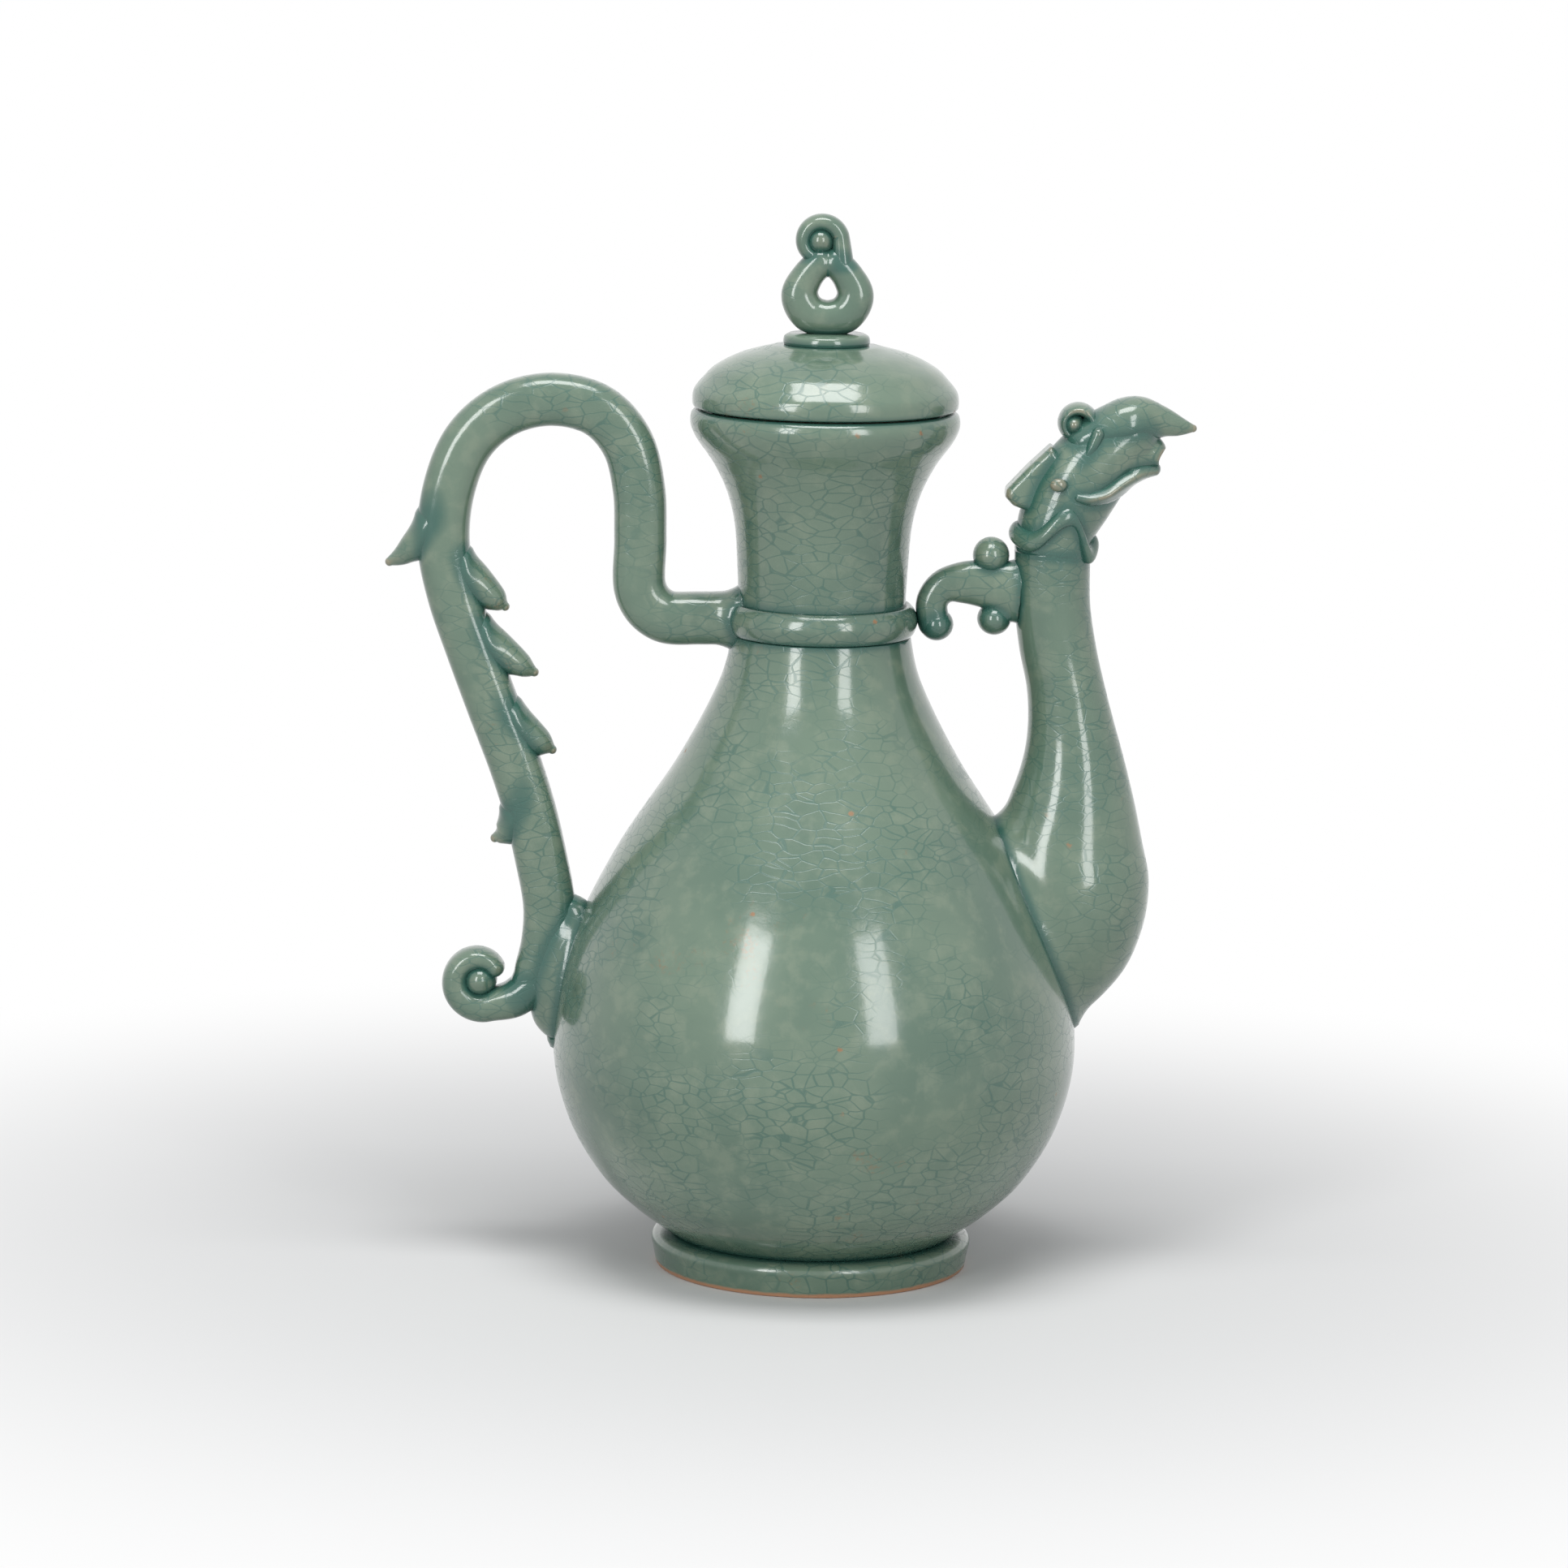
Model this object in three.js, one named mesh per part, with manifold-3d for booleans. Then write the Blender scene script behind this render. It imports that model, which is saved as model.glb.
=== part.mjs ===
// A celadon ewer with a lid: pear-shaped body, cup mouth, looped handle with thorns, phoenix-headed
// spout and a cloud-scroll bridge. Millimetres, +Z up. The ewer stands on z = 0 and is turned about
// its pot axis; the handle is on -X and the spout on +X. The group is shifted at the end so that the
// origin lies under the middle of the whole ewer.
import * as THREE from 'three';
import { mergeVertices } from 'three/addons/utils/BufferGeometryUtils.js';
import Module from 'manifold-3d';

const wasm = await Module();
wasm.setup();

// Clearances
const SEAM = 0.3; // between members luted together
const LID_SEAT_GAP = 0.3; // lid band over the rim
const LID_PLAY = 1.2; // flange inside the mouth, all round

// Walls
const BELLY_WALL = 5;
const NECK_WALL = 4;
const LID_WALL = 4.5;
const FLANGE_WALL = 4;
const BASE_THICKNESS = 7;

// Foot
const FOOT_RADIUS = 44.4;
const FOOT_FLARE = 1.2;
const FOOT_HEIGHT = 9.3;
const FOOT_WIDTH = 8;

// Belly
const BELLY_BASE_RADIUS = 40.2;
const BELLY_RADIUS = 74.3;
const BELLY_WIDEST_Z = 64;
const SHOULDER_Z = 118;
const SHOULDER_RADIUS = 57.8;
const THROAT_Z = 181.4;
const THROAT_RADIUS = 25.2;

// Collar band
const COLLAR_HEIGHT = 8.7;
const COLLAR_RADIUS = 26.2;
const COLLAR_BULGE = 1.0;

// Neck and mouth
const NECK_RADIUS = 23.6;
const MOUTH_Z = 245.4;
const MOUTH_RADIUS = 36.9;
const MOUTH_BAND_HEIGHT = 7.5;
const MOUTH_BAND_BULGE = 1.0;

// Lid
const LID_RADIUS = 37.4;
const LID_BAND_HEIGHT = 4.8;
const LID_RISE = 17.8;
const FLANGE_DEPTH = 6;

// Knob on the lid
const PAD_RADIUS = 12.2;
const PAD_HEIGHT = 2.9;
const LOOP_WIDTH = 26.2;
const LOOP_HEIGHT = 21;
const LOOP_DEPTH = 11;
const LOOP_HOLE_WIDTH = 6.2;
const LOOP_HOLE_HEIGHT = 11;
const CURL_RADIUS = 5.2;
const CURL_THICKNESS = 5.2;

// Handle
const HANDLE_THICKNESS = 14.8;
const HANDLE_DEPTH = 14.4;
const HANDLE_OUT = 106.8; // pot axis to the middle of the outer leg
const HANDLE_TOP = 246.8; // middle of the arch
const HANDLE_LOWER_IN = 76; // pot axis to the middle of the leg where it meets the belly
const SCROLL_RADIUS = 7.2;
const SCROLL_THICKNESS = 6.4;
const THORN_WIDTH = 9;
const THORN_DEPTH = 9;
const THORN_LENGTH = 8;

// Spout
const SPOUT_RADIUS = 10.7;
const SPOUT_AXIS_X = 64.6;
const SPOUT_TOP = 206.5;
const SPOUT_BASE_DEPTH = 42;
const BORE_RADIUS = 5.4;

// Phoenix head
const HEAD_HALF = 12.2;
const BEAK_TIP_X = 104;
const BEAK_TIP_Z = 241.6;
const POUR_HALF = 3.6;

// Bridge
const BRIDGE_DEPTH = 10;
const BRIDGE_BALL = 5;

// Fineness
const TURNED_STEPS = 40;
const FINE_STEPS = 20;

const CELADON = { color: 0x6f8373, roughness: 0.18, metalness: 0 };
const PALE_CELADON = { color: 0x8a907c, roughness: 0.2, metalness: 0 };

// Makes one closed mesh with merged vertices and outward faces.
function closedMesh(geometry) {
  const bare = geometry.clone();
  bare.deleteAttribute('normal');
  bare.deleteAttribute('uv');
  const merged = mergeVertices(bare, 1e-4);
  const index = merged.index.array;
  const place = merged.attributes.position.array;
  const kept = [];
  let volume = 0;
  for (let i = 0; i < index.length; i += 3) {
    const [a, b, c] = [index[i], index[i + 1], index[i + 2]];
    if (a === b || b === c || a === c) continue;
    kept.push(a, b, c);
    const va = new THREE.Vector3().fromArray(place, 3 * a);
    const vb = new THREE.Vector3().fromArray(place, 3 * b);
    const vc = new THREE.Vector3().fromArray(place, 3 * c);
    volume += va.dot(vb.cross(vc)) / 6;
  }
  if (volume < 0) {
    kept.reverse();
  }
  merged.setIndex(kept);
  return merged;
}

function solidOf(geometry) {
  const mesh = closedMesh(geometry);
  return new wasm.Manifold(new wasm.Mesh({
    numProp: 3,
    vertProperties: new Float32Array(mesh.attributes.position.array),
    triVerts: new Uint32Array(mesh.index.array),
  }));
}

function geometryOf(solid) {
  const mesh = solid.getMesh();
  const geometry = new THREE.BufferGeometry();
  geometry.setAttribute('position', new THREE.BufferAttribute(mesh.vertProperties, 3));
  geometry.setIndex(new THREE.BufferAttribute(mesh.triVerts, 1));
  geometry.computeVertexNormals();
  return geometry;
}

const point = (x, y) => new THREE.Vector2(x, y);

// Points along a smooth line through the given ones, ends included.
function smooth(points, count) {
  return new THREE.SplineCurve(points).getPoints(count);
}

// Moves each point of an outline of radius and height outwards by a distance.
function offsetLine(points, distance) {
  return points.map((here, i) => {
    const before = points[Math.max(i - 1, 0)];
    const after = points[Math.min(i + 1, points.length - 1)];
    const along = after.clone().sub(before).normalize();
    return point(here.x + along.y * distance, here.y - along.x * distance);
  });
}

// Turns an outline of radius and height about the pot axis.
function turned(outline, steps = TURNED_STEPS) {
  return solidOf(new THREE.LatheGeometry(outline, steps).rotateX(Math.PI / 2));
}

// Joins rings of points into one closed skin with a fan over each end.
function loft(rings) {
  const count = rings[0].length;
  const places = rings.flat();
  const index = [];
  for (let r = 0; r + 1 < rings.length; r += 1) {
    for (let i = 0; i < count; i += 1) {
      const a = r * count + i;
      const b = r * count + ((i + 1) % count);
      index.push(a, b, b + count, a, b + count, a + count);
    }
  }
  for (const [ring, turn] of [[0, -1], [rings.length - 1, 1]]) {
    const middle = rings[ring].reduce((sum, p) => sum.add(p), new THREE.Vector3());
    places.push(middle.divideScalar(count));
    const centre = places.length - 1;
    for (let i = 0; i < count; i += 1) {
      const a = ring * count + i;
      const b = ring * count + ((i + 1) % count);
      index.push(centre, turn > 0 ? a : b, turn > 0 ? b : a);
    }
  }
  const geometry = new THREE.BufferGeometry().setFromPoints(places);
  geometry.setIndex(index);
  return solidOf(geometry);
}

// One ring of a bar: in-plane half-width along `across`, half-depth along Y. A squareness of 1 is
// an ellipse, and smaller values are squarer.
function ring(centre, across, half, depth, sides, squareness) {
  const points = [];
  for (let i = 0; i < sides; i += 1) {
    const angle = (2 * Math.PI * (i + 0.5)) / sides;
    const c = Math.cos(angle);
    const s = Math.sin(angle);
    const u = Math.sign(c) * Math.abs(c) ** squareness * half;
    const v = Math.sign(s) * Math.abs(s) ** squareness * depth;
    points.push(new THREE.Vector3(centre.x + across.x * u, centre.y + v, centre.z + across.z * u));
  }
  return points;
}

// A bar along stations [x, z, half-width, half-depth] in the plane of handle and spout. Round ends
// are a dome. `grow` makes the same bar larger all over, for cutting a neighbour.
function bar(stations, options = {}) {
  const { steps = 24, sides = 12, squareness = 1, y = 0, grow = 0, roundStart, roundEnd } = options;
  const route = new THREE.CatmullRomCurve3(stations.map(([x, z]) => new THREE.Vector3(x, y, z)));
  const girth = new THREE.CatmullRomCurve3(stations.map(([, , h, d]) => new THREE.Vector3(h, d, 0)));
  const rings = [];
  const station = (t, shift, scale) => {
    const along = route.getTangent(t);
    const across = new THREE.Vector3(along.z, 0, -along.x);
    const centre = route.getPoint(t).addScaledVector(along, shift);
    const size = girth.getPoint(t);
    return ring(centre, across, (size.x + grow) * scale, (size.y + grow) * scale, sides, squareness);
  };
  const dome = [[0.95, 0.3], [0.7, 0.7], [0.35, 0.93]];
  const startReach = girth.getPoint(0).x + grow;
  const endReach = girth.getPoint(1).x + grow;
  if (roundStart) {
    for (const [shift, scale] of dome) rings.push(station(0, -shift * startReach, scale));
  } else if (grow) {
    rings.push(station(0, -grow, 1));
  }
  for (let i = 0; i <= steps; i += 1) rings.push(station(i / steps, 0, 1));
  if (roundEnd) {
    for (const [shift, scale] of dome.toReversed()) rings.push(station(1, shift * endReach, scale));
  } else if (grow) {
    rings.push(station(1, grow, 1));
  }
  return loft(rings);
}

// A flattened ball.
function bead(x, y, z, rx, ry, rz, grow = 0) {
  const ball = new THREE.SphereGeometry(1, 12, 8);
  ball.scale(rx + grow, ry + grow, rz + grow);
  return solidOf(ball.translate(x, y, z));
}

// An outline in the plane of handle and spout, given a depth along Y and rounded edges.
function slab(outline, depth, rounding, grow = 0) {
  const geometry = new THREE.ExtrudeGeometry(new THREE.Shape(outline), {
    depth: depth - 2 * rounding,
    bevelEnabled: true,
    bevelSize: rounding + grow,
    bevelThickness: rounding + grow,
    bevelOffset: -rounding,
    bevelSegments: 2,
    curveSegments: 8,
  });
  geometry.translate(0, 0, -(depth - 2 * rounding) / 2);
  return solidOf(geometry.rotateX(Math.PI / 2));
}

// The pot's outline
const bellyLine = smooth([
  point(BELLY_BASE_RADIUS, FOOT_HEIGHT + SEAM),
  point(51.7, 18),
  point(61.6, 28),
  point(70.4, 44),
  point(BELLY_RADIUS, BELLY_WIDEST_Z),
  point(70.6, 90),
  point(SHOULDER_RADIUS, SHOULDER_Z),
  point(39.8, 146),
  point(28.6, 168),
  point(THROAT_RADIUS, THROAT_Z),
], 17);

const neckBase = THROAT_Z + SEAM;
const bandFoot = MOUTH_Z - MOUTH_BAND_HEIGHT;
const neckLine = [
  ...smooth([
    point(NECK_RADIUS + 0.1, neckBase),
    point(NECK_RADIUS, neckBase + COLLAR_HEIGHT),
    point(24.1, 202),
    point(25, 213),
    point(27.3, 222),
    point(31.2, 230),
    point(MOUTH_RADIUS - 0.9, bandFoot),
  ], 9),
  point(MOUTH_RADIUS + 0.6, bandFoot + 1.6),
  point(MOUTH_RADIUS + MOUTH_BAND_BULGE, bandFoot + MOUTH_BAND_HEIGHT / 2),
  point(MOUTH_RADIUS + 0.7, MOUTH_Z - 1.6),
  point(MOUTH_RADIUS, MOUTH_Z),
];

const collarLine = [
  point(COLLAR_RADIUS - 0.6, neckBase),
  point(COLLAR_RADIUS + 0.3, neckBase + 1.5),
  point(COLLAR_RADIUS + COLLAR_BULGE, neckBase + COLLAR_HEIGHT / 2),
  point(COLLAR_RADIUS + 0.1, neckBase + COLLAR_HEIGHT - 1.5),
  point(COLLAR_RADIUS - 1.2, neckBase + COLLAR_HEIGHT),
];

// The whole outside of the pot, grown by a clearance: what every luted member is cut by.
function potEnvelope(grow) {
  const aboveCollar = neckLine.filter((p) => p.y > neckBase + COLLAR_HEIGHT);
  const side = offsetLine([...bellyLine, ...collarLine, ...aboveCollar], grow);
  const bottom = point(side[0].x, side[0].y - 2);
  const top = side[side.length - 1];
  return turned([point(0, bottom.y), bottom, ...side, point(0, top.y)]);
}
const envelope = potEnvelope(SEAM);

// Foot
const footTop = FOOT_RADIUS + FOOT_FLARE;
const footRing = turned([
  point(FOOT_RADIUS - FOOT_WIDTH, 0),
  point(FOOT_RADIUS - 0.8, 0),
  point(FOOT_RADIUS, 1),
  point(footTop, FOOT_HEIGHT - 1.8),
  point(footTop - 1.2, FOOT_HEIGHT - 0.4),
  point(footTop - 3, FOOT_HEIGHT),
  point(FOOT_RADIUS - FOOT_WIDTH - 2, FOOT_HEIGHT),
  point(FOOT_RADIUS - FOOT_WIDTH - 1.2, FOOT_HEIGHT - 2),
  point(FOOT_RADIUS - FOOT_WIDTH, 0),
]);

// Spout: each station is the near and far edge in the plane of the spout and the half-depth.
const spoutStations = [
  { near: [46, 76], far: [73, 71], depth: 9 },
  { near: [46, 84], far: [82.4, 80], depth: 15 },
  { near: [46, 92], far: [89, 89], depth: 19 },
  { near: [46, 102], far: [93.2, 101], depth: SPOUT_BASE_DEPTH / 2 },
  { near: [47, 114], far: [94.2, 113], depth: 20.6 },
  { near: [49.5, 125], far: [92, 124], depth: 18.4 },
  { near: [53.6, 134.5], far: [89.6, 135], depth: 16.4 },
  { near: [57.4, 146], far: [86.3, 147.5], depth: 13.6 },
  { near: [58.8, 156], far: [83.2, 158], depth: 12 },
  { near: [58.3, 167], far: [80.4, 168], depth: 11.2 },
  { near: [55.8, 179], far: [77.6, 179.5], depth: SPOUT_RADIUS },
  { near: [54.2, 192], far: [75.6, 192], depth: SPOUT_RADIUS },
  {
    near: [SPOUT_AXIS_X - SPOUT_RADIUS, SPOUT_TOP],
    far: [SPOUT_AXIS_X + SPOUT_RADIUS, SPOUT_TOP],
    depth: SPOUT_RADIUS,
  },
];
const spoutOuter = loft(spoutStations.map(({ near, far, depth }) => {
  const centre = new THREE.Vector3((near[0] + far[0]) / 2, 0, (near[1] + far[1]) / 2);
  const across = new THREE.Vector3(far[0] - near[0], 0, far[1] - near[1]);
  const half = across.length() / 2;
  return ring(centre, across.normalize(), half, depth, FINE_STEPS, 1);
}));

// The channel from the belly through spout and head to the pouring hole under the beak.
const channel = bar([
  [34, 88, BORE_RADIUS, BORE_RADIUS],
  [52, 96, BORE_RADIUS, BORE_RADIUS],
  [66, 108, BORE_RADIUS, BORE_RADIUS],
  [72.5, 126, BORE_RADIUS, BORE_RADIUS],
  [72, 146, BORE_RADIUS, BORE_RADIUS],
  [69.4, 166, BORE_RADIUS, BORE_RADIUS],
  [65.6, 186, BORE_RADIUS, BORE_RADIUS],
  [SPOUT_AXIS_X, SPOUT_TOP, BORE_RADIUS, BORE_RADIUS],
  [67.5, 219, BORE_RADIUS, BORE_RADIUS],
  [76, 229, 4.6, 5],
  [88, 233.2, POUR_HALF, 4.4],
  [104, 234, POUR_HALF, 4.4],
], { steps: 26, sides: 10 });
const spout = spoutOuter.subtract(envelope).subtract(channel);

// Belly, neck and collar
const bellyInner = offsetLine(bellyLine, -BELLY_WALL)
  .filter((p) => p.y > FOOT_HEIGHT + BASE_THICKNESS && p.y < THROAT_Z - 0.5);
const belly = turned([
  point(0, FOOT_HEIGHT + SEAM),
  ...bellyLine,
  point(THROAT_RADIUS - BELLY_WALL, THROAT_Z),
  ...bellyInner.toReversed(),
  point(bellyInner[0].x - 4, FOOT_HEIGHT + BASE_THICKNESS),
  point(0, FOOT_HEIGHT + BASE_THICKNESS),
]).subtract(channel);

const mouthInner = MOUTH_RADIUS - NECK_WALL;
const neckInner = offsetLine(neckLine.slice(0, 10), -NECK_WALL)
  .filter((p) => p.y > neckBase + 0.5 && p.y < bandFoot - 2);
const neck = turned([
  point(NECK_RADIUS - NECK_WALL, neckBase),
  ...neckLine,
  point(mouthInner, MOUTH_Z),
  point(mouthInner, bandFoot + 1),
  ...neckInner.toReversed(),
  point(NECK_RADIUS - NECK_WALL, neckBase),
]);

const collarInner = NECK_RADIUS + 0.1 + SEAM;
const collarBand = turned([
  ...collarLine,
  point(collarInner, neckBase + COLLAR_HEIGHT),
  point(collarInner, neckBase),
  collarLine[0],
]);

// Handle: stations from the collar over the arch and down to the belly.
const handleHalf = HANDLE_THICKNESS / 2;
const handleDeep = HANDLE_DEPTH / 2;
const shift = HANDLE_OUT - 106.8;
const handleRoute = [
  [-20, 186.2], [-34, 185.6], [-45, 186.2], [-51.2, 193.5], [-51.4, 208], [-52, 222],
  [-55.5, 235], [-64, 244], [-77, HANDLE_TOP], [-90 - shift, 243.4], [-100 - shift, 234.5],
  [-105.4 - shift, 221], [-HANDLE_OUT, 206], [-104 - shift, 191.5], [-98.6 - shift, 176],
  [-92.6, 160], [-86.4, 144], [-81.8, 130], [-78.4, 116], [-HANDLE_LOWER_IN, 103],
  [-HANDLE_LOWER_IN - 0.4, 92],
];
const handleStations = handleRoute.map(([x, z]) => [x, z, handleHalf, handleDeep]);
const handleTail = [
  [-HANDLE_LOWER_IN - 3, 83, handleHalf * 0.94, handleDeep * 0.96],
  [-HANDLE_LOWER_IN - 8, 76.2, handleHalf * 0.74, handleDeep * 0.92],
  [-HANDLE_LOWER_IN - 14.4, 72.6, handleHalf * 0.6, handleDeep * 0.88],
];
const handleShape = { steps: 44, sides: 12, squareness: 0.72 };
const handleBar = bar([...handleStations, ...handleTail], handleShape);
const handleCutter = bar([...handleStations, ...handleTail], { ...handleShape, grow: SEAM });
const handle = handleBar.subtract(envelope);

// Rolled lower end of the handle
const scrollCentre = [-95.4, 80.8];
const scrollStations = [];
for (let i = 0; i <= 7; i += 1) {
  const angle = -0.33 * Math.PI - (i / 7) * 1.42 * Math.PI;
  const radius = SCROLL_RADIUS * (1.16 - 0.062 * i);
  const half = (SCROLL_THICKNESS / 2) * (1.3 - 0.075 * i);
  scrollStations.push([
    scrollCentre[0] + radius * Math.cos(angle),
    scrollCentre[1] + radius * Math.sin(angle),
    half,
    handleDeep * (0.86 - 0.03 * i),
  ]);
}
const scrollShape = { steps: 14, sides: 10, squareness: 0.8, roundEnd: true };
const handleScroll = bar(scrollStations, scrollShape).subtract(handleCutter).subtract(envelope);
const scrollCutter = bar(scrollStations, { ...scrollShape, grow: SEAM });
const beadRadius = SCROLL_RADIUS - SCROLL_THICKNESS / 2 + 0.2;
const scrollBead = bead(scrollCentre[0], 0, scrollCentre[1], beadRadius, 7, beadRadius)
  .subtract(scrollCutter)
  .subtract(handleCutter);

// Pad of clay between the lower leg and the belly
const padBar = bar([
  [-68, 104, 3.5, 5.5],
  [-70, 92, 8.5, 9.4],
  [-71.5, 80, 11, 10.4],
  [-72, 70, 8, 8.6],
  [-70, 64, 3, 5],
], { steps: 10, sides: 12, roundStart: true, roundEnd: true });
const lutingPad = padBar.subtract(envelope).subtract(handleCutter).subtract(scrollCutter);

// Thorns: the foot of each on the handle, and the tip that it leans to
const thorns = [
  { foot: [-113.5, 206], tip: [-123, 199.4] },
  { foot: [-93.6, 192.5], tip: [-88.4, 187] },
  { foot: [-87.2, 173.8], tip: [-79.8, 168.6] },
  { foot: [-80.8, 152], tip: [-74.6, 146.4] },
  { foot: [-86.4, 125.4], tip: [-92.6, 120.8] },
];
function thorn({ foot, tip }) {
  const away = new THREE.Vector2(tip[0] - foot[0], tip[1] - foot[1]).normalize();
  const root = [foot[0] - away.x * THORN_LENGTH * 0.5, foot[1] - away.y * THORN_LENGTH * 0.5];
  const cone = bar([
    [root[0], root[1], THORN_WIDTH / 2 + 1, THORN_DEPTH / 2 + 0.6],
    [foot[0], foot[1], THORN_WIDTH / 2, THORN_DEPTH / 2],
    [(foot[0] + tip[0]) / 2, (foot[1] + tip[1]) / 2 + 0.4, THORN_WIDTH / 4, THORN_DEPTH / 4],
    [tip[0] - away.x, tip[1] - away.y, 1, 1],
  ], { steps: 6, sides: 10, roundEnd: true });
  return cone.subtract(handleCutter);
}

// Phoenix head
const headStations = [
  [SPOUT_AXIS_X, SPOUT_TOP + SEAM, SPOUT_RADIUS, SPOUT_RADIUS],
  [65.6, 213.5, 11.2, 11],
  [69, 221.6, HEAD_HALF, 11.2],
  [74, 229.4, 12, 10.8],
  [79.6, 235.6, 10.8, 9.8],
  [84.6, 239.6, 9, 8.6],
];
const headShape = { steps: 10, sides: 14, roundEnd: true };
const headOuter = bar(headStations, headShape);
const headCutter = bar(headStations, { ...headShape, grow: SEAM });
const spoutTopCut = bar([
  [SPOUT_AXIS_X, SPOUT_TOP - 12, 30, 30],
  [SPOUT_AXIS_X, SPOUT_TOP + SEAM, 30, 30],
], { steps: 1, sides: 12 });
const head = headOuter.subtract(spoutTopCut).subtract(channel);

const beakStations = [
  [83, 244.4, 5.6, 7.4],
  [88.5, 244.6, 5.6, 6.4],
  [94, 243.6, 4.4, 5],
  [99, 242.4, 3, 3.4],
  [BEAK_TIP_X - 1.2, BEAK_TIP_Z, 1.2, 1.4],
];
const beakShape = { steps: 10, sides: 12, roundEnd: true };
const upperBeak = bar(beakStations, beakShape).subtract(headCutter).subtract(channel);
const beakCutter = bar(beakStations, { ...beakShape, grow: SEAM });

const jawStations = [
  [78, 225.6, 5.6, 7],
  [84, 227.6, 3.6, 6.2],
  [89.5, 228, 2.4, 5],
  [93, 228.6, 1.4, 2.6],
];
const jawShape = { steps: 8, sides: 12, roundEnd: true };
const lowerJaw = bar(jawStations, jawShape).subtract(headCutter).subtract(channel);

// Rolled crest on top of the head
const crestCentre = [70.6, 242.8];
const crestStations = [];
for (let i = 0; i <= 7; i += 1) {
  const angle = -0.12 * Math.PI + (i / 7) * 1.25 * Math.PI;
  crestStations.push([
    crestCentre[0] + 4.4 * Math.cos(angle),
    crestCentre[1] + 4.4 * Math.sin(angle),
    1.9 - 0.06 * i,
    4.6 - 0.12 * i,
  ]);
}
crestStations.unshift([76.4, 236.6, 2.2, 4.8]);
const crestShape = { steps: 14, sides: 8, roundEnd: true };
const crestCurl = bar(crestStations, crestShape).subtract(headCutter);
const crestCutter = bar(crestStations, { ...crestShape, grow: SEAM });
const crestBead = bead(crestCentre[0] - 1.4, 0, crestCentre[1] - 0.2, 3, 5, 3)
  .subtract(crestCutter)
  .subtract(headCutter);

// Plate behind the head
const napeOutline = [
  point(51, 224), point(57, 230.5), point(63.4, 236.6), point(66.8, 233.6), point(66, 224),
  point(60, 217), point(53, 219.6), point(50.8, 222),
];
const napeCrest = slab(napeOutline, 7, 1).subtract(headCutter).subtract(crestCutter);
const napeCutter = slab(napeOutline, 7, 1, SEAM);

// Ruff of feathers round the root of the head
const ruffLevel = SPOUT_TOP + 4.2;
const ruffOutline = [];
for (let i = 0; i < 8; i += 1) {
  const angle = (2 * Math.PI * i) / 8;
  ruffOutline.push(point(12.6 + 2.2 * Math.cos(angle), 3.2 * Math.sin(angle)));
}
ruffOutline.push(ruffOutline[0]);
const ruffRing = new THREE.LatheGeometry(ruffOutline, FINE_STEPS)
  .rotateX(Math.PI / 2)
  .translate(SPOUT_AXIS_X + 0.3, 0, ruffLevel);
const neckRuff = solidOf(ruffRing).subtract(headCutter).subtract(napeCutter);

// Applied beads on the sides of the head
const eyeReach = 11.2;
function eyeBead(side) {
  return bead(65.4, side * eyeReach, 226.4, 2.4, 1.6, 1.9).subtract(headCutter);
}

// Cloud-scroll bridge from collar to spout
const bridgeOutline = [
  point(26, 185), point(26, 193.4), point(28.6, 198), point(33, 201), point(39, 202.6),
  point(43.4, 202.6), point(48, 203.4), point(52.6, 202), point(56, 197), point(57, 190),
  point(53, 187.4), point(48, 189.2), point(44, 190.2), point(40.2, 191.4), point(36.6, 190.4),
  point(32.6, 187.4), point(29, 185.4),
];
const spoutCutter = loft(spoutStations.map(({ near, far, depth }) => {
  const centre = new THREE.Vector3((near[0] + far[0]) / 2, 0, (near[1] + far[1]) / 2);
  const across = new THREE.Vector3(far[0] - near[0], 0, far[1] - near[1]);
  const half = across.length() / 2 + SEAM;
  return ring(centre, across.normalize(), half, depth + SEAM, FINE_STEPS, 1);
}));
const bridge = slab(bridgeOutline, BRIDGE_DEPTH, 2).subtract(envelope).subtract(spoutCutter);
const bridgeCutter = slab(bridgeOutline, BRIDGE_DEPTH, 2, SEAM);
const ruffCutter = solidOf(new THREE.LatheGeometry(
  ruffOutline.map((p) => point(p.x + (p.x - 12.6) * 0.14, p.y * 1.1)), FINE_STEPS,
).rotateX(Math.PI / 2).translate(SPOUT_AXIS_X + 0.3, 0, ruffLevel));
const bridgeBead = bead(47.2, 0, 205.4, BRIDGE_BALL, BRIDGE_BALL + 0.6, BRIDGE_BALL)
  .subtract(bridgeCutter)
  .subtract(ruffCutter)
  .subtract(spoutCutter);
const collarFoot = bead(32.4, 0, 185, 4.8, 6.2, 4.6).subtract(bridgeCutter).subtract(envelope);
const spoutFoot = bead(49.2, 0, 186.4, 4.4, 6, 4.2).subtract(bridgeCutter).subtract(spoutCutter);

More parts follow.
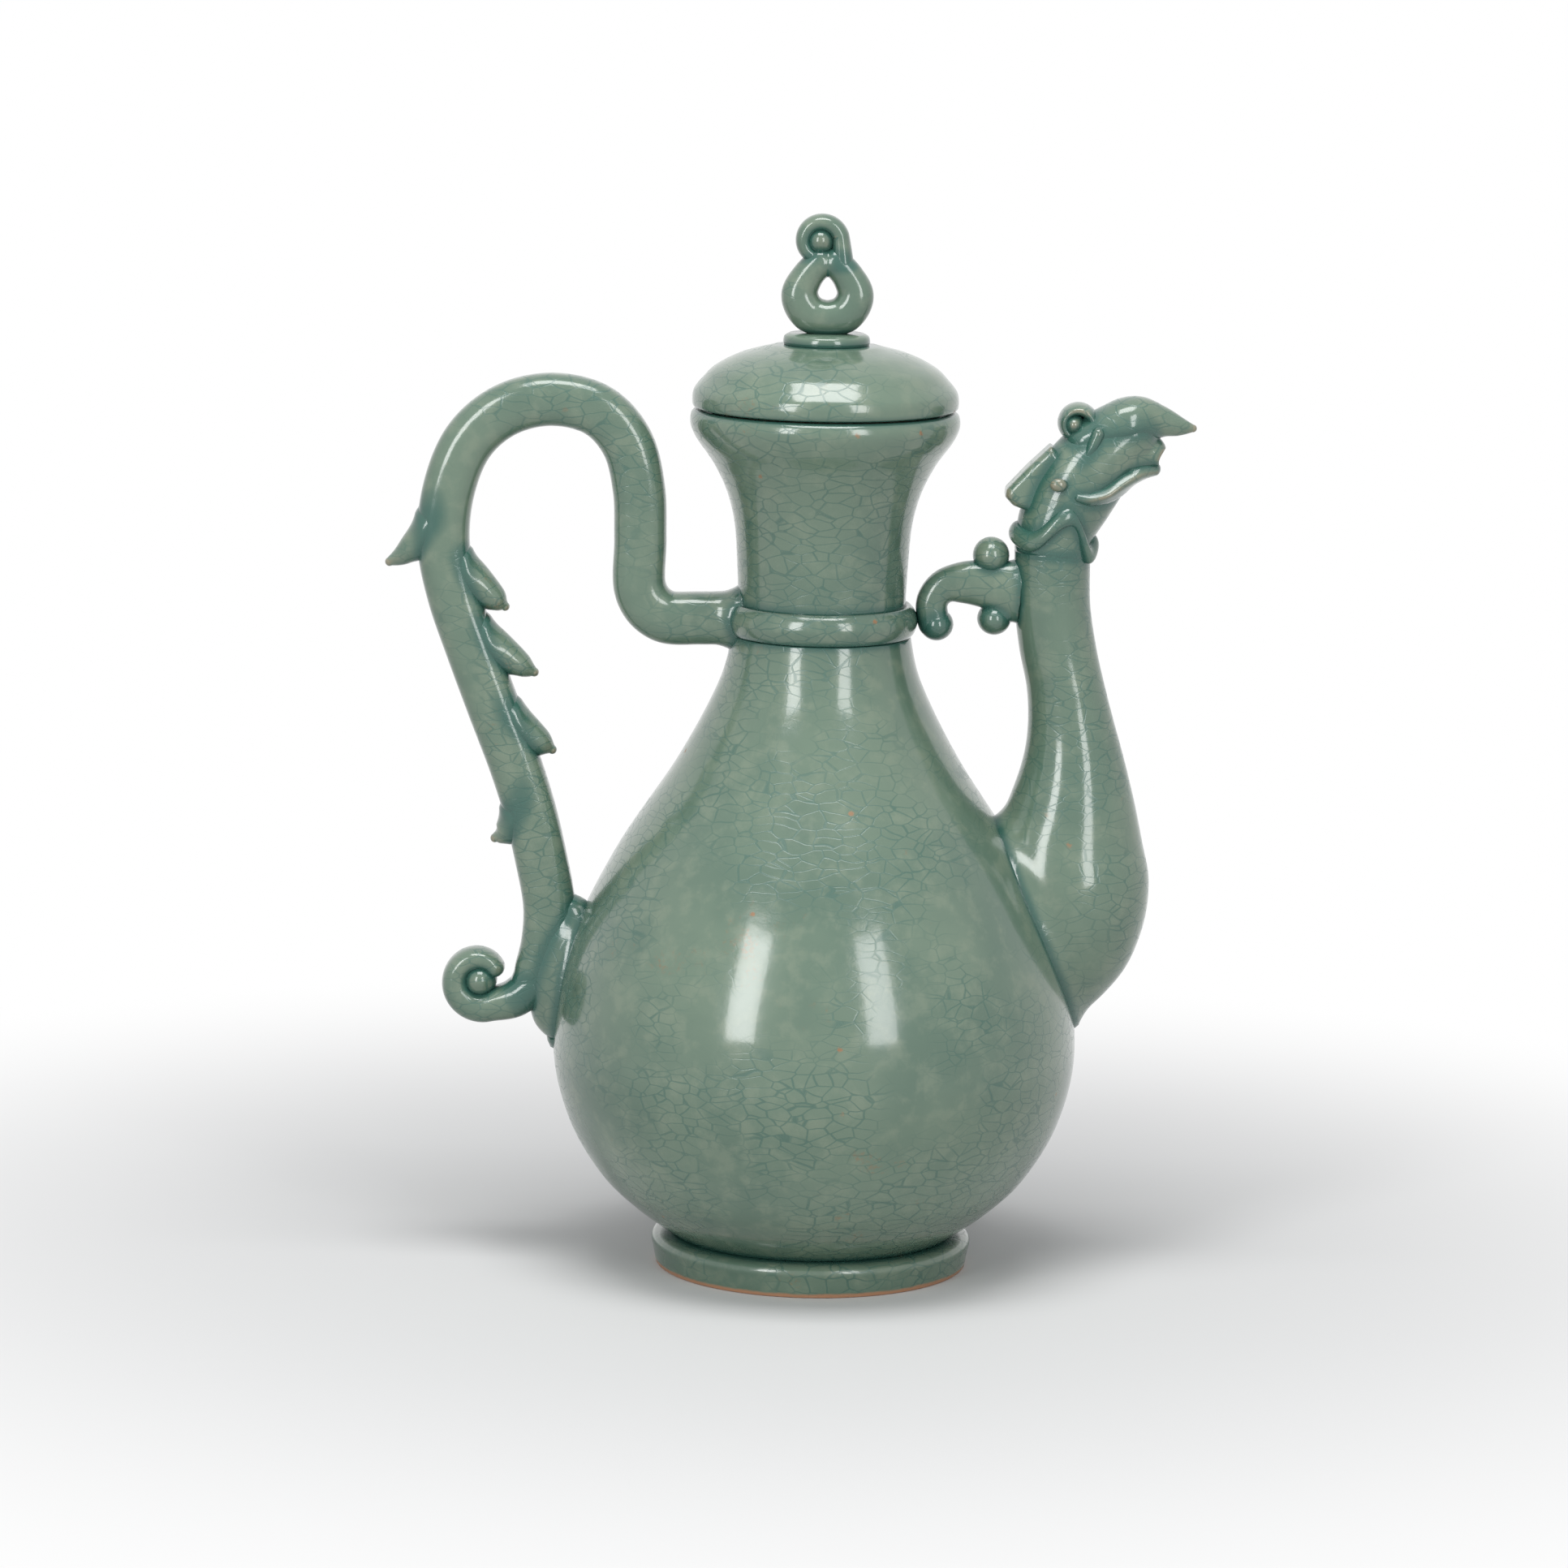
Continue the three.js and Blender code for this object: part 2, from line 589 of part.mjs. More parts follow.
// Lid
const lidBase = MOUTH_Z + LID_SEAT_GAP;
const lidTop = lidBase + LID_RISE;
const lidShoulder = lidBase + LID_BAND_HEIGHT;
const flangeOuter = mouthInner - LID_PLAY;
const flangeTop = lidBase + 3.2;
const domeTop = PAD_RADIUS + 1;
const lidDome = turned([
  point(flangeOuter + 0.6, lidBase),
  point(LID_RADIUS - 0.6, lidBase),
  point(LID_RADIUS, lidBase + 0.8),
  point(LID_RADIUS, lidShoulder - 0.8),
  point(LID_RADIUS - 0.9, lidShoulder),
  ...smooth([
    point(LID_RADIUS - 1.4, lidShoulder + 1.2),
    point(35.2, lidShoulder + 3.2),
    point(31.2, lidBase + 11.4),
    point(24.5, lidBase + 14.9),
    point(domeTop + 4, lidTop - 0.8),
    point(domeTop, lidTop),
  ], 10),
  point(0, lidTop),
  point(0, lidTop - LID_WALL),
  point(domeTop, lidTop - LID_WALL - 0.2),
  point(22, lidTop - LID_WALL - 2.6),
  point(27, flangeTop + 3.4),
  point(flangeOuter - FLANGE_WALL - 1, flangeTop + SEAM),
  point(flangeOuter + 0.6, flangeTop + SEAM),
  point(flangeOuter + 0.6, lidBase),
]);
const lidFlange = turned([
  point(flangeOuter - FLANGE_WALL, MOUTH_Z - FLANGE_DEPTH),
  point(flangeOuter - 1, MOUTH_Z - FLANGE_DEPTH),
  point(flangeOuter, MOUTH_Z - FLANGE_DEPTH + 1.4),
  point(flangeOuter, flangeTop),
  point(flangeOuter - FLANGE_WALL, flangeTop),
  point(flangeOuter - FLANGE_WALL, MOUTH_Z - FLANGE_DEPTH),
]);

// Knob
const padBase = lidTop + SEAM;
const padTop = padBase + PAD_HEIGHT;
const finialPad = turned([
  point(0, padBase),
  point(PAD_RADIUS - 0.6, padBase),
  point(PAD_RADIUS, padBase + 0.8),
  point(PAD_RADIUS - 0.6, padTop - 0.6),
  point(PAD_RADIUS - 2, padTop),
  point(0, padTop),
], FINE_STEPS);

const loopBase = padTop + SEAM;
const loopHalf = LOOP_WIDTH / 2;
const loopOutline = new THREE.SplineCurve([
  point(-7.4, loopBase), point(-loopHalf + 1.4, loopBase + 2.6), point(-loopHalf, loopBase + 7),
  point(-loopHalf + 1.6, loopBase + 12.6), point(-9, loopBase + 17.4), point(-6.6, loopBase + LOOP_HEIGHT),
]).getPoints(12);
const loopShape = [...loopOutline, ...loopOutline.toReversed().map((p) => point(-p.x, p.y))];
const holeMiddle = loopBase + 8;
const loopHole = [];
for (let i = 0; i < 14; i += 1) {
  const angle = (2 * Math.PI * i) / 14;
  const narrow = 1 - 0.22 * Math.sin(angle);
  loopHole.push(point(
    (LOOP_HOLE_WIDTH / 2 + 0.6) * Math.cos(angle) * narrow,
    holeMiddle + (LOOP_HOLE_HEIGHT / 2) * Math.sin(angle),
  ));
}
const loopTop = loopBase + LOOP_HEIGHT;
const finialLoop = slab(loopShape, LOOP_DEPTH, 2).subtract(slab(loopHole, 2 * LOOP_DEPTH, 0));
const loopCutter = slab(loopShape, LOOP_DEPTH, 2, SEAM);

const curlCentre = [-2, loopTop + 4.5];
const curlStations = [[4.4, loopTop - 0.6, CURL_THICKNESS / 2 + 0.5, 4.6]];
for (let i = 0; i <= 7; i += 1) {
  const angle = 0.02 * Math.PI + (i / 7) * 1.3 * Math.PI;
  const radius = CURL_RADIUS + 0.2 - 0.1 * i;
  curlStations.push([
    curlCentre[0] + 1.1 * radius * Math.cos(angle),
    curlCentre[1] + radius * Math.sin(angle),
    (CURL_THICKNESS / 2) * (1 - 0.03 * i),
    4.4,
  ]);
}
const curlShape = { steps: 15, sides: 10, roundEnd: true };
const finialCurl = bar(curlStations, curlShape).subtract(loopCutter);
const curlCutter = bar(curlStations, { ...curlShape, grow: SEAM });
const curlBead = bead(curlCentre[0], 0, curlCentre[1] + 0.4, 3.2, 4.6, 3.2)
  .subtract(curlCutter)
  .subtract(loopCutter);

const ewer = new THREE.Group();
function add(name, solid, look = CELADON) {
  const mesh = new THREE.Mesh(geometryOf(solid), new THREE.MeshStandardMaterial(look));
  mesh.name = name;
  ewer.add(mesh);
}

add('foot_ring', footRing);
add('belly', belly);
add('neck', neck);
add('collar_band', collarBand, PALE_CELADON);
add('handle', handle);
thorns.forEach((place, i) => add(`handle_barb_${i + 1}`, thorn(place), PALE_CELADON));
add('handle_scroll', handleScroll);
add('handle_scroll_bead', scrollBead, PALE_CELADON);
add('handle_luting_pad', lutingPad);
add('spout', spout);
add('phoenix_head', head);
add('upper_beak', upperBeak, PALE_CELADON);
add('lower_jaw', lowerJaw, PALE_CELADON);
add('crest_curl', crestCurl);
add('crest_curl_bead', crestBead, PALE_CELADON);
add('nape_crest', napeCrest, PALE_CELADON);
add('eye_bead_left', eyeBead(-1), PALE_CELADON);
add('eye_bead_right', eyeBead(1), PALE_CELADON);
add('neck_ruff', neckRuff);
add('bridge_strut', bridge);
add('strut_top_bead', bridgeBead, PALE_CELADON);
add('strut_collar_foot', collarFoot);
add('strut_spout_foot', spoutFoot);
add('lid_dome', lidDome);
add('lid_flange', lidFlange, PALE_CELADON);
add('finial_pad', finialPad);
add('finial_loop', finialLoop);
add('finial_curl', finialCurl);
add('finial_curl_bead', curlBead, PALE_CELADON);

const bounds = new THREE.Box3().setFromObject(ewer);
ewer.position.x = -(bounds.min.x + bounds.max.x) / 2;

export default ewer;
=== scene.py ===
"""A celadon ewer: thrown body and lid, and the luted handle, spout, phoenix head and bridge."""

import math

import bmesh
import bpy
import numpy as np
from mathutils import Matrix, Vector
from mathutils.bvhtree import BVHTree


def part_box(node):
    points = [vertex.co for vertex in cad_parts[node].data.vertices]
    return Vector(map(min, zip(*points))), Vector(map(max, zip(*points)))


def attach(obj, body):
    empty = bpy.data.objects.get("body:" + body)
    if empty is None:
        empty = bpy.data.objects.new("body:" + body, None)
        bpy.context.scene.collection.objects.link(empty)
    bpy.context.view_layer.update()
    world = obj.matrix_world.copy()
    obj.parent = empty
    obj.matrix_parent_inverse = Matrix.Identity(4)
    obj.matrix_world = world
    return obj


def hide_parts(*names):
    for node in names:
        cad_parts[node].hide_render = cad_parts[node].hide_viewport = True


bl_info = {
    "name": "Celadon ewer",
    "version": (1, 0, 0),
    "blender": (4, 5, 0),
    "location": "3D View > Sidebar > Ewer",
    "description": "Builds a lidded celadon ewer and its glaze round its packed frame",
    "category": "Object",
}

MM = 0.001
TAU = 2 * math.pi

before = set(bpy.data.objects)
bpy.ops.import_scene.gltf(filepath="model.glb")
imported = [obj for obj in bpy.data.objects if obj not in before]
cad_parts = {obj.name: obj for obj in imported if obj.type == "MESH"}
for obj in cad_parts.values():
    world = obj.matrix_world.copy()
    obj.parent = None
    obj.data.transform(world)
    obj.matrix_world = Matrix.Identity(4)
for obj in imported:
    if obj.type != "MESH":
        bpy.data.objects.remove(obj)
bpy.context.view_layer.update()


def middle_x(node):
    low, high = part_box(node)
    return (low.x + high.x) / 2


# The pot axis in metres, and heights of the CAD model in millimetres
POT_X = middle_x("foot_ring")
FOOT_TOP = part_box("foot_ring")[1].z / MM
BELLY_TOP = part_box("belly")[1].z / MM
MOUTH_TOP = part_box("neck")[1].z / MM
LID_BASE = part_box("lid_dome")[0].z / MM
LID_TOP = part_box("lid_dome")[1].z / MM
PAD_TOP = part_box("finial_pad")[1].z / MM
LOOP_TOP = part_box("finial_loop")[1].z / MM
SPOUT_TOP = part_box("spout")[1].z / MM

SEAM = 0.3
MERGE_DISTANCE = 1e-6
TURN_STEPS = 240
RUFF_STEPS = 144
DEEP = Vector((0, 1, 0))
# How far out and how wide the rings of a rounded end lie, from its tip inwards
DOME = [(math.sin(a), math.cos(a)) for a in (1.45, 1.2, 0.9, 0.6, 0.3)]

made = {}
finish = {}


def smooth_line(points, count):
    """A smooth line of count + 1 points through the given ones, which have any dimension."""
    ends = [points[0], *points, points[-1]]
    line = []
    for k in range(count + 1):
        t = k / count * (len(points) - 1)
        i = min(int(t), len(points) - 2)
        u = t - i
        line.append(tuple(
            0.5 * (2 * b + (c - a) * u + (2 * a - 5 * b + 4 * c - d) * u ** 2
                   + (3 * b - a - 3 * c + d) * u ** 3)
            for a, b, c, d in zip(*ends[i:i + 4])
        ))
    return line


def place(x, y, z):
    """A point given in millimetres from the pot axis, in the frame's metres."""
    return Vector((POT_X + x * MM, y * MM, z * MM))


def turn(bm, x, steps):
    """Turns all of a bmesh about the upright line at x and joins it where it meets itself."""
    bmesh.ops.spin(
        bm, geom=list(bm.verts) + list(bm.edges), cent=place(x, 0, 0), axis=(0, 0, 1),
        angle=TAU, steps=steps, use_merge=True, use_normal_flip=False, use_duplicate=False,
    )
    bmesh.ops.remove_doubles(bm, verts=bm.verts, dist=MERGE_DISTANCE)
    bmesh.ops.recalc_face_normals(bm, faces=bm.faces)
    return bm


def spun(outline):
    """A closed shell turned about the pot axis from an outline of radius and height."""
    bm = bmesh.new()
    verts = [bm.verts.new(place(r, 0, z)) for r, z in outline]
    for pair in zip(verts, verts[1:]):
        bm.edges.new(pair)
    if outline[0][0] > 0:
        bm.edges.new((verts[-1], verts[0]))
    return turn(bm, 0, TURN_STEPS)


def set_ring(verts, ring, square):
    """Moves vertices onto a ring, which is an ellipse at square 1 and boxier below."""
    centre, across, half, depth = ring
    for i, vert in enumerate(verts):
        angle = TAU * (i + 0.5) / len(verts)
        c, s = math.cos(angle), math.sin(angle)
        u = math.copysign(abs(c) ** square, c) * half * MM
        v = math.copysign(abs(s) ** square, s) * depth * MM
        vert.co = centre + across * u + DEEP * v


def lofted(rings, sides, square=1.0):
    """A closed skin through rings of (centre, across, half, depth), drawn out ring by ring."""
    bm = bmesh.new()
    loop = bmesh.ops.create_circle(bm, cap_ends=False, segments=sides, radius=1)["verts"]
    edges = list({e for v in loop for e in v.link_edges})
    first = order = sorted(loop, key=lambda v: math.atan2(v.co.y, v.co.x) % TAU)
    set_ring(order, rings[0], square)
    for ring in rings[1:]:
        grown = bmesh.ops.extrude_edge_only(bm, edges=edges)["geom"]
        new = {v for v in grown if isinstance(v, bmesh.types.BMVert)}
        order = [next(e.other_vert(v) for e in v.link_edges if e.other_vert(v) in new)
                 for v in order]
        edges = [e for e in grown if isinstance(e, bmesh.types.BMEdge)
                 and e.verts[0] in new and e.verts[1] in new]
        set_ring(order, ring, square)
    for end in (first, order):
        bmesh.ops.contextual_create(bm, geom=end)
    ends = [f for f in bm.faces if len(f.verts) == sides]
    bmesh.ops.poke(bm, faces=ends)
    bmesh.ops.recalc_face_normals(bm, faces=bm.faces)
    return bm


def bar(stations, steps, sides, square=1.0, y=0.0, round_start=False, round_end=False):
    """A bar of clay along stations (x, z, half-width, half-depth) in millimetres."""
    line = smooth_line(stations, steps)
    rings = []

    def ring(i, push, scale):
        before, after = line[max(i - 1, 0)], line[min(i + 1, steps)]
        along = Vector((after[0] - before[0], 0, after[1] - before[1])).normalized()
        across = Vector((along.z, 0, -along.x))
        x, z, half, depth = line[i]
        rings.append((place(x, y, z) + along * (push * MM), across, half * scale, depth * scale))

    if round_start:
        for push, scale in DOME:
            ring(0, -push * line[0][2], scale)
    for i in range(steps + 1):
        ring(i, 0, 1)
    if round_end:
        for push, scale in reversed(DOME):
            ring(steps, push * line[-1][2], scale)
    return lofted(rings, sides, square)


def ball(centre, radii, detail):
    """A ball with a radius of its own along each axis."""
    bm = bmesh.new()
    bmesh.ops.create_uvsphere(bm, u_segments=detail, v_segments=detail // 2, radius=1)
    bmesh.ops.scale(bm, vec=tuple(r * MM for r in radii), verts=bm.verts)
    bmesh.ops.translate(bm, vec=place(*centre), verts=bm.verts)
    return bm


def slab(outline, depth, rounding):
    """An outline in the plane of handle and spout, drawn out along Y, with rounded edges."""
    bm = bmesh.new()
    face = bm.faces.new([bm.verts.new(place(x, -depth / 2, z)) for x, z in outline])
    moved = bmesh.ops.extrude_face_region(bm, geom=[face])["geom"]
    far_verts = [v for v in moved if isinstance(v, bmesh.types.BMVert)]
    bmesh.ops.translate(bm, vec=(0, depth * MM, 0), verts=far_verts)
    bmesh.ops.recalc_face_normals(bm, faces=bm.faces)
    rims = [e for e in bm.edges if any(len(f.verts) == len(outline) for f in e.link_faces)]
    bmesh.ops.bevel(
        bm, geom=rims, offset=rounding * MM, segments=4, profile=0.5, affect="EDGES",
        material=-1, clamp_overlap=True,
    )
    return bm


def new_piece(name, *meshes):
    """One object from one or more bmeshes, which are used up."""
    mesh = bpy.data.meshes.new(name)
    whole = bmesh.new()
    for bm in meshes:
        lump = bpy.data.meshes.new("lump")
        bm.to_mesh(lump)
        bm.free()
        whole.from_mesh(lump)
        bpy.data.meshes.remove(lump)
    whole.to_mesh(mesh)
    whole.free()
    piece = bpy.data.objects.new(name, mesh)
    bpy.context.scene.collection.objects.link(piece)
    return piece


def settle(piece):
    """Applies a piece's modifiers to its mesh."""
    graph = bpy.context.evaluated_depsgraph_get()
    mesh = bpy.data.meshes.new_from_object(piece.evaluated_get(graph))
    piece.modifiers.clear()
    old = piece.data
    piece.data = mesh
    bpy.data.meshes.remove(old)
    return piece


def knead(piece, voxel, rounds):
    """Joins a piece's overlapping lumps into one skin and softens it, as wet clay is."""
    remesh = piece.modifiers.new("join", "REMESH")
    remesh.mode = "VOXEL"
    remesh.voxel_size = voxel * MM
    soften = piece.modifiers.new("soften", "SMOOTH")
    soften.factor = 0.5
    soften.iterations = rounds
    return settle(piece)


def bore(piece):
    """Cuts the channel of spout and head through a piece."""
    cutter = new_piece("cutter", channel_mesh())
    boolean = piece.modifiers.new("cut", "BOOLEAN")
    boolean.operation = "DIFFERENCE"
    boolean.solver = "EXACT"
    boolean.object = cutter
    settle(piece)
    mesh = cutter.data
    bpy.data.objects.remove(cutter)
    bpy.data.meshes.remove(mesh)
    return piece


def keep(piece, body, slot, *nodes):
    """Shades a piece smooth, puts it on its body and lets it stand for its CAD nodes."""
    piece.data.polygons.foreach_set("use_smooth", [True] * len(piece.data.polygons))
    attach(piece, body)
    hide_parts(*nodes)
    made[piece.name] = piece
    finish[piece.name] = slot
    return piece


def roll_ball(name, centre, radii, body, slot, node, detail=32):
    """Rolls a ball of clay and keeps it as a piece."""
    keep(new_piece(name, ball(centre, radii, detail)), body, slot, node)


def tree_of(piece):
    mesh = piece.data
    return BVHTree.FromPolygons([v.co for v in mesh.vertices], [p.vertices for p in mesh.polygons])


def lute(piece, carriers, reach, amount):
    """Spreads a piece's foot where it meets what it is luted to, as slip fills the joint."""
    reach *= MM
    trees = [tree_of(carrier) for carrier in carriers]
    mesh = piece.data
    normals = [n.vector.copy() for n in mesh.vertex_normals]
    for vert, normal in zip(mesh.vertices, normals):
        nearest = reach
        for tree in trees:
            spot, facing, _, gap = tree.find_nearest(vert.co, reach)
            if spot is not None:
                outside = (vert.co - spot).dot(facing) > 0
                nearest = min(nearest, gap if outside else 0)
        share = 1 - nearest / reach
        vert.co += normal * (amount * MM * share * share)


# Outlines of the thrown members, in millimetres of radius and height
BELLY_LINE = [
    (40.2, FOOT_TOP + SEAM), (51.7, 18), (61.6, 28), (70.4, 44), (74.3, 64), (70.6, 90),
    (57.8, 118), (39.8, 146), (28.6, 168), (25.2, BELLY_TOP),
]
BELLY_WALL = 5
BASE = 7
NECK_WALL = 4
NECK_RADIUS = 23.7
NECK_FOOT = BELLY_TOP + SEAM
COLLAR_HEIGHT = 8.7
COLLAR_INSIDE = 24
MOUTH_RADIUS = 36.9
BAND_FOOT = MOUTH_TOP - 7.5
NECK_LINE = [
    (NECK_RADIUS, NECK_FOOT), (23.6, NECK_FOOT + COLLAR_HEIGHT), (24.1, 202), (25, 213),
    (27.3, 222), (31.2, 230), (35.6, 236.2), (37.3, BAND_FOOT + 1.4), (37.9, BAND_FOOT + 3.8),
    (37.6, MOUTH_TOP - 1.4), (MOUTH_RADIUS - 0.4, MOUTH_TOP - 0.2),
]
COLLAR_LINE = [
    (25.4, NECK_FOOT), (26.4, NECK_FOOT + 1.4), (27.1, NECK_FOOT + 4.3),
    (26.3, NECK_FOOT + 7.2), (25, NECK_FOOT + COLLAR_HEIGHT),
]
FOOT_RADIUS = 44.4
FLANGE_RADIUS = 31.7
FLANGE_INSIDE = 27.7
FLANGE_TOP = LID_BASE + 3.2
FLANGE_SEAT = LID_BASE + 3.5


def inward(line, wall):
    """The inner line of a wall, drawn parallel to the outer one."""
    inner = []
    for i, (r, z) in enumerate(line):
        before, after = line[max(i - 1, 0)], line[min(i + 1, len(line) - 1)]
        along = Vector((after[0] - before[0], after[1] - before[1])).normalized()
        inner.append((r - along.y * wall, z + along.x * wall))
    return inner


def belly_mesh():
    outer = smooth_line(BELLY_LINE, 150)
    inner = [p for p in inward(outer, BELLY_WALL) if FOOT_TOP + BASE < p[1] < BELLY_TOP - 0.5]
    return spun([
        (0, FOOT_TOP + SEAM), *outer, (outer[-1][0] - BELLY_WALL, BELLY_TOP),
        *reversed(inner), (inner[0][0] - 4, FOOT_TOP + BASE), (0, FOOT_TOP + BASE),
    ])


def neck_mesh():
    outer = smooth_line(NECK_LINE, 70)
    seat = MOUTH_RADIUS - NECK_WALL
    inner = [p for p in inward(outer, NECK_WALL) if NECK_FOOT + 0.5 < p[1] < BAND_FOOT - 2]
    return spun([
        (NECK_RADIUS - NECK_WALL, NECK_FOOT), *outer, (seat + 0.5, MOUTH_TOP),
        (seat, MOUTH_TOP - 0.5), (seat, BAND_FOOT + 1), *reversed(inner),
    ])


def collar_mesh():
    outer = smooth_line(COLLAR_LINE, 16)
    return spun([*outer, (COLLAR_INSIDE, NECK_FOOT + COLLAR_HEIGHT), (COLLAR_INSIDE, NECK_FOOT)])


def foot_mesh():
    top = FOOT_RADIUS + 1.2
    outer = smooth_line([
        (FOOT_RADIUS - 7.6, 0.2), (FOOT_RADIUS - 6.8, 0), (FOOT_RADIUS - 1, 0),
        (FOOT_RADIUS, 0.9), (top - 0.5, FOOT_TOP * 0.5), (top, FOOT_TOP - 2.2),
        (top - 0.8, FOOT_TOP - 0.7), (top - 2.6, FOOT_TOP), (top - 5.4, FOOT_TOP + 0.2),
    ], 40)
    return spun([*outer, (FOOT_RADIUS - 10, FOOT_TOP), (FOOT_RADIUS - 8.6, FOOT_TOP - 2)])


def lid_mesh():
    """The lid, from its top down over the shoulder and up inside round the flange."""
    shoulder = LID_BASE + 4.8
    inside = FLANGE_RADIUS + 0.6
    outer = smooth_line([
        (36.2, LID_BASE), (37.2, LID_BASE + 0.6), (37.4, LID_BASE + 2.4), (37.2, shoulder - 0.6),
        (36.6, shoulder + 0.8), (34.8, shoulder + 3), (31.2, LID_BASE + 11.4),
        (24.5, LID_BASE + 14.9), (17.2, LID_TOP - 0.8), (13.2, LID_TOP), (6, LID_TOP + 0.1),
        (0, LID_TOP + 0.1),
    ], 80)
    return spun([
        (0, LID_TOP), *reversed(outer[:-1]), (inside, LID_BASE), (inside, FLANGE_SEAT),
        (26.7, FLANGE_SEAT), (27, LID_BASE + 6.6), (22, LID_TOP - 7.1), (13, LID_TOP - 4.7),
        (0, LID_TOP - 4.5),
    ])


def flange_mesh():
    low = MOUTH_TOP - 6
    outer = smooth_line([
        (27.9, low), (30.6, low), (31.6, low + 1.2), (FLANGE_RADIUS, FLANGE_TOP - 0.2),
    ], 12)
    return spun([
        *outer, (FLANGE_RADIUS, FLANGE_TOP), (FLANGE_INSIDE, FLANGE_TOP),
        (FLANGE_INSIDE, low + 0.4),
    ])


def pad_disc_mesh():
    low = LID_TOP + 0.1
    side = smooth_line([(11.9, low), (12.2, low + 1), (11.8, PAD_TOP - 0.7), (10.6, PAD_TOP)], 12)
    return spun([(0, low), *side, (0, PAD_TOP)])


# Middle lines of the drawn and rolled members, in millimetres from the pot axis. Stations are
# (x, z, half-width, half-depth)
HANDLE_HALF = 7.4
HANDLE_DEPTH = 7.2
HANDLE_ROUTE = [
    (-20, 186.2), (-34, 185.6), (-45, 186.2), (-51.2, 193.5), (-51.4, 208), (-52, 222),
    (-55.5, 235), (-64, 244), (-77, 246.8), (-90, 243.4), (-100, 234.5), (-105.4, 221),
    (-106.8, 206), (-104, 191.5), (-98.6, 176), (-92.6, 160), (-86.4, 144), (-81.8, 130),
    (-78.4, 116), (-76, 103), (-76.4, 92),
]
HANDLE_TAIL = [(-79, 83, 6.9, 6.9), (-82.4, 78, 5.4, 6.5), (-86, 75, 3.8, 5.6)]
# Foot and tip of each thorn
THORNS = [
    ((-113.5, 206), (-123, 199.4)), ((-93.6, 192.5), (-88.4, 187)),
    ((-87.2, 173.8), (-79.8, 168.6)), ((-80.8, 152), (-74.6, 146.4)),
    ((-86.4, 125.4), (-92.6, 120.8)),
]
SCROLL_CENTRE = (-95.4, 80.8)
SCROLL_ROOT = [(-80, 79.8, 5.6, 6.9), (-85.4, 75.4, 5.4, 6.8)]
SCROLL_STEPS = 12
SCROLL_TAPER = 0.14
PAD_STATIONS = [
    (-70.5, 101, 5, 6), (-71, 92, 8.3, 8.8), (-71.5, 80, 10.6, 10), (-72, 71, 8.6, 8.8),
    (-71, 67, 5.4, 6.6),
]


def handle_mesh():
    stations = [(x, z, HANDLE_HALF, HANDLE_DEPTH) for x, z in HANDLE_ROUTE] + HANDLE_TAIL
    return bar(stations, steps=380, sides=56, square=0.74)


def scroll_stations(centre, start, sweep, radius, shrink, half, thin, depth):
    """Stations along a scroll that draws in by shrink and thins by thin as it sweeps round."""
    stations = []
    for i in range(SCROLL_STEPS + 1):
        angle = start + sweep * i / SCROLL_STEPS
        reach = radius - shrink * i / SCROLL_STEPS
        stations.append((
            centre[0] + reach * math.cos(angle), centre[1] + reach * math.sin(angle),
            half - thin * i / SCROLL_STEPS, depth * (1 - SCROLL_TAPER * i / SCROLL_STEPS),
        ))
    return stations


def scroll_mesh():
    rolled = scroll_stations(
        SCROLL_CENTRE, start=-0.36 * math.pi, sweep=-1.42 * math.pi, radius=8.1, shrink=2.6,
        half=4.7, thin=1.9, depth=6.6,
    )
    return bar(
        SCROLL_ROOT + rolled, steps=110, sides=40, square=0.78, round_start=True, round_end=True)


def thorn_mesh(foot, tip):
    """A hooked thorn, drawn out of the strap from above and ending in its point."""
    foot, tip = Vector(foot), Vector(tip)
    route = [Vector(point) for point in HANDLE_ROUTE]
    near = min(range(1, len(route) - 1), key=lambda i: (route[i] - foot).length)
    up = (route[near - 1] - route[near + 1]).normalized()
    drawn = tip - foot
    out = drawn - up * drawn.dot(up)
    out.normalize()
    root = foot + up * 14 - out * 6.4
    shoulder = foot + up * 6 - out * 4
    middle = foot + drawn * 0.4 - out * 0.6
    end = tip - drawn.normalized() * 1.3
    return bar([
        (*root, 2.6, 4.6), (*shoulder, 4.6, 5.8), (*middle, 3.5, 4.6), (*end, 1.3, 2),
    ], steps=36, sides=32, round_end=True)


def pad_mesh():
    return bar(PAD_STATIONS, steps=40, sides=36, round_start=True, round_end=True)


SPOUT_X = 64.6
SPOUT_RADIUS = 10.7
# Near side and far side of the spout at each level, and its half-depth: (x, z, x, z, half-depth)
SPOUT_STATIONS = [
    (46, 76, 73, 71, 9), (46, 84, 82.4, 80, 15), (46, 92, 89, 89, 19), (46, 102, 93.2, 101, 21),
    (47, 114, 94.2, 113, 20.6), (49.5, 125, 92, 124, 18.4), (53.6, 134.5, 89.6, 135, 16.4),
    (57.4, 146, 86.3, 147.5, 13.6), (58.8, 156, 83.2, 158, 12), (58.3, 167, 80.4, 168, 11.2),
    (55.8, 179, 77.6, 179.5, SPOUT_RADIUS), (54.2, 192, 75.6, 192, SPOUT_RADIUS),
    (SPOUT_X - SPOUT_RADIUS, SPOUT_TOP, SPOUT_X + SPOUT_RADIUS, SPOUT_TOP, SPOUT_RADIUS),
]
CHANNEL_RADIUS = 5.4
CHANNEL_ROUTE = [
    (34, 88), (52, 96), (66, 108), (72.5, 126), (72, 146), (69.4, 166), (65.6, 186),
    (SPOUT_X, SPOUT_TOP), (67.5, 219),
]
CHANNEL_END = [(76, 229, 4.4, 4.8), (88, 233.2, 2.7, 3.6), (110, 233.8, 2.7, 3.6)]


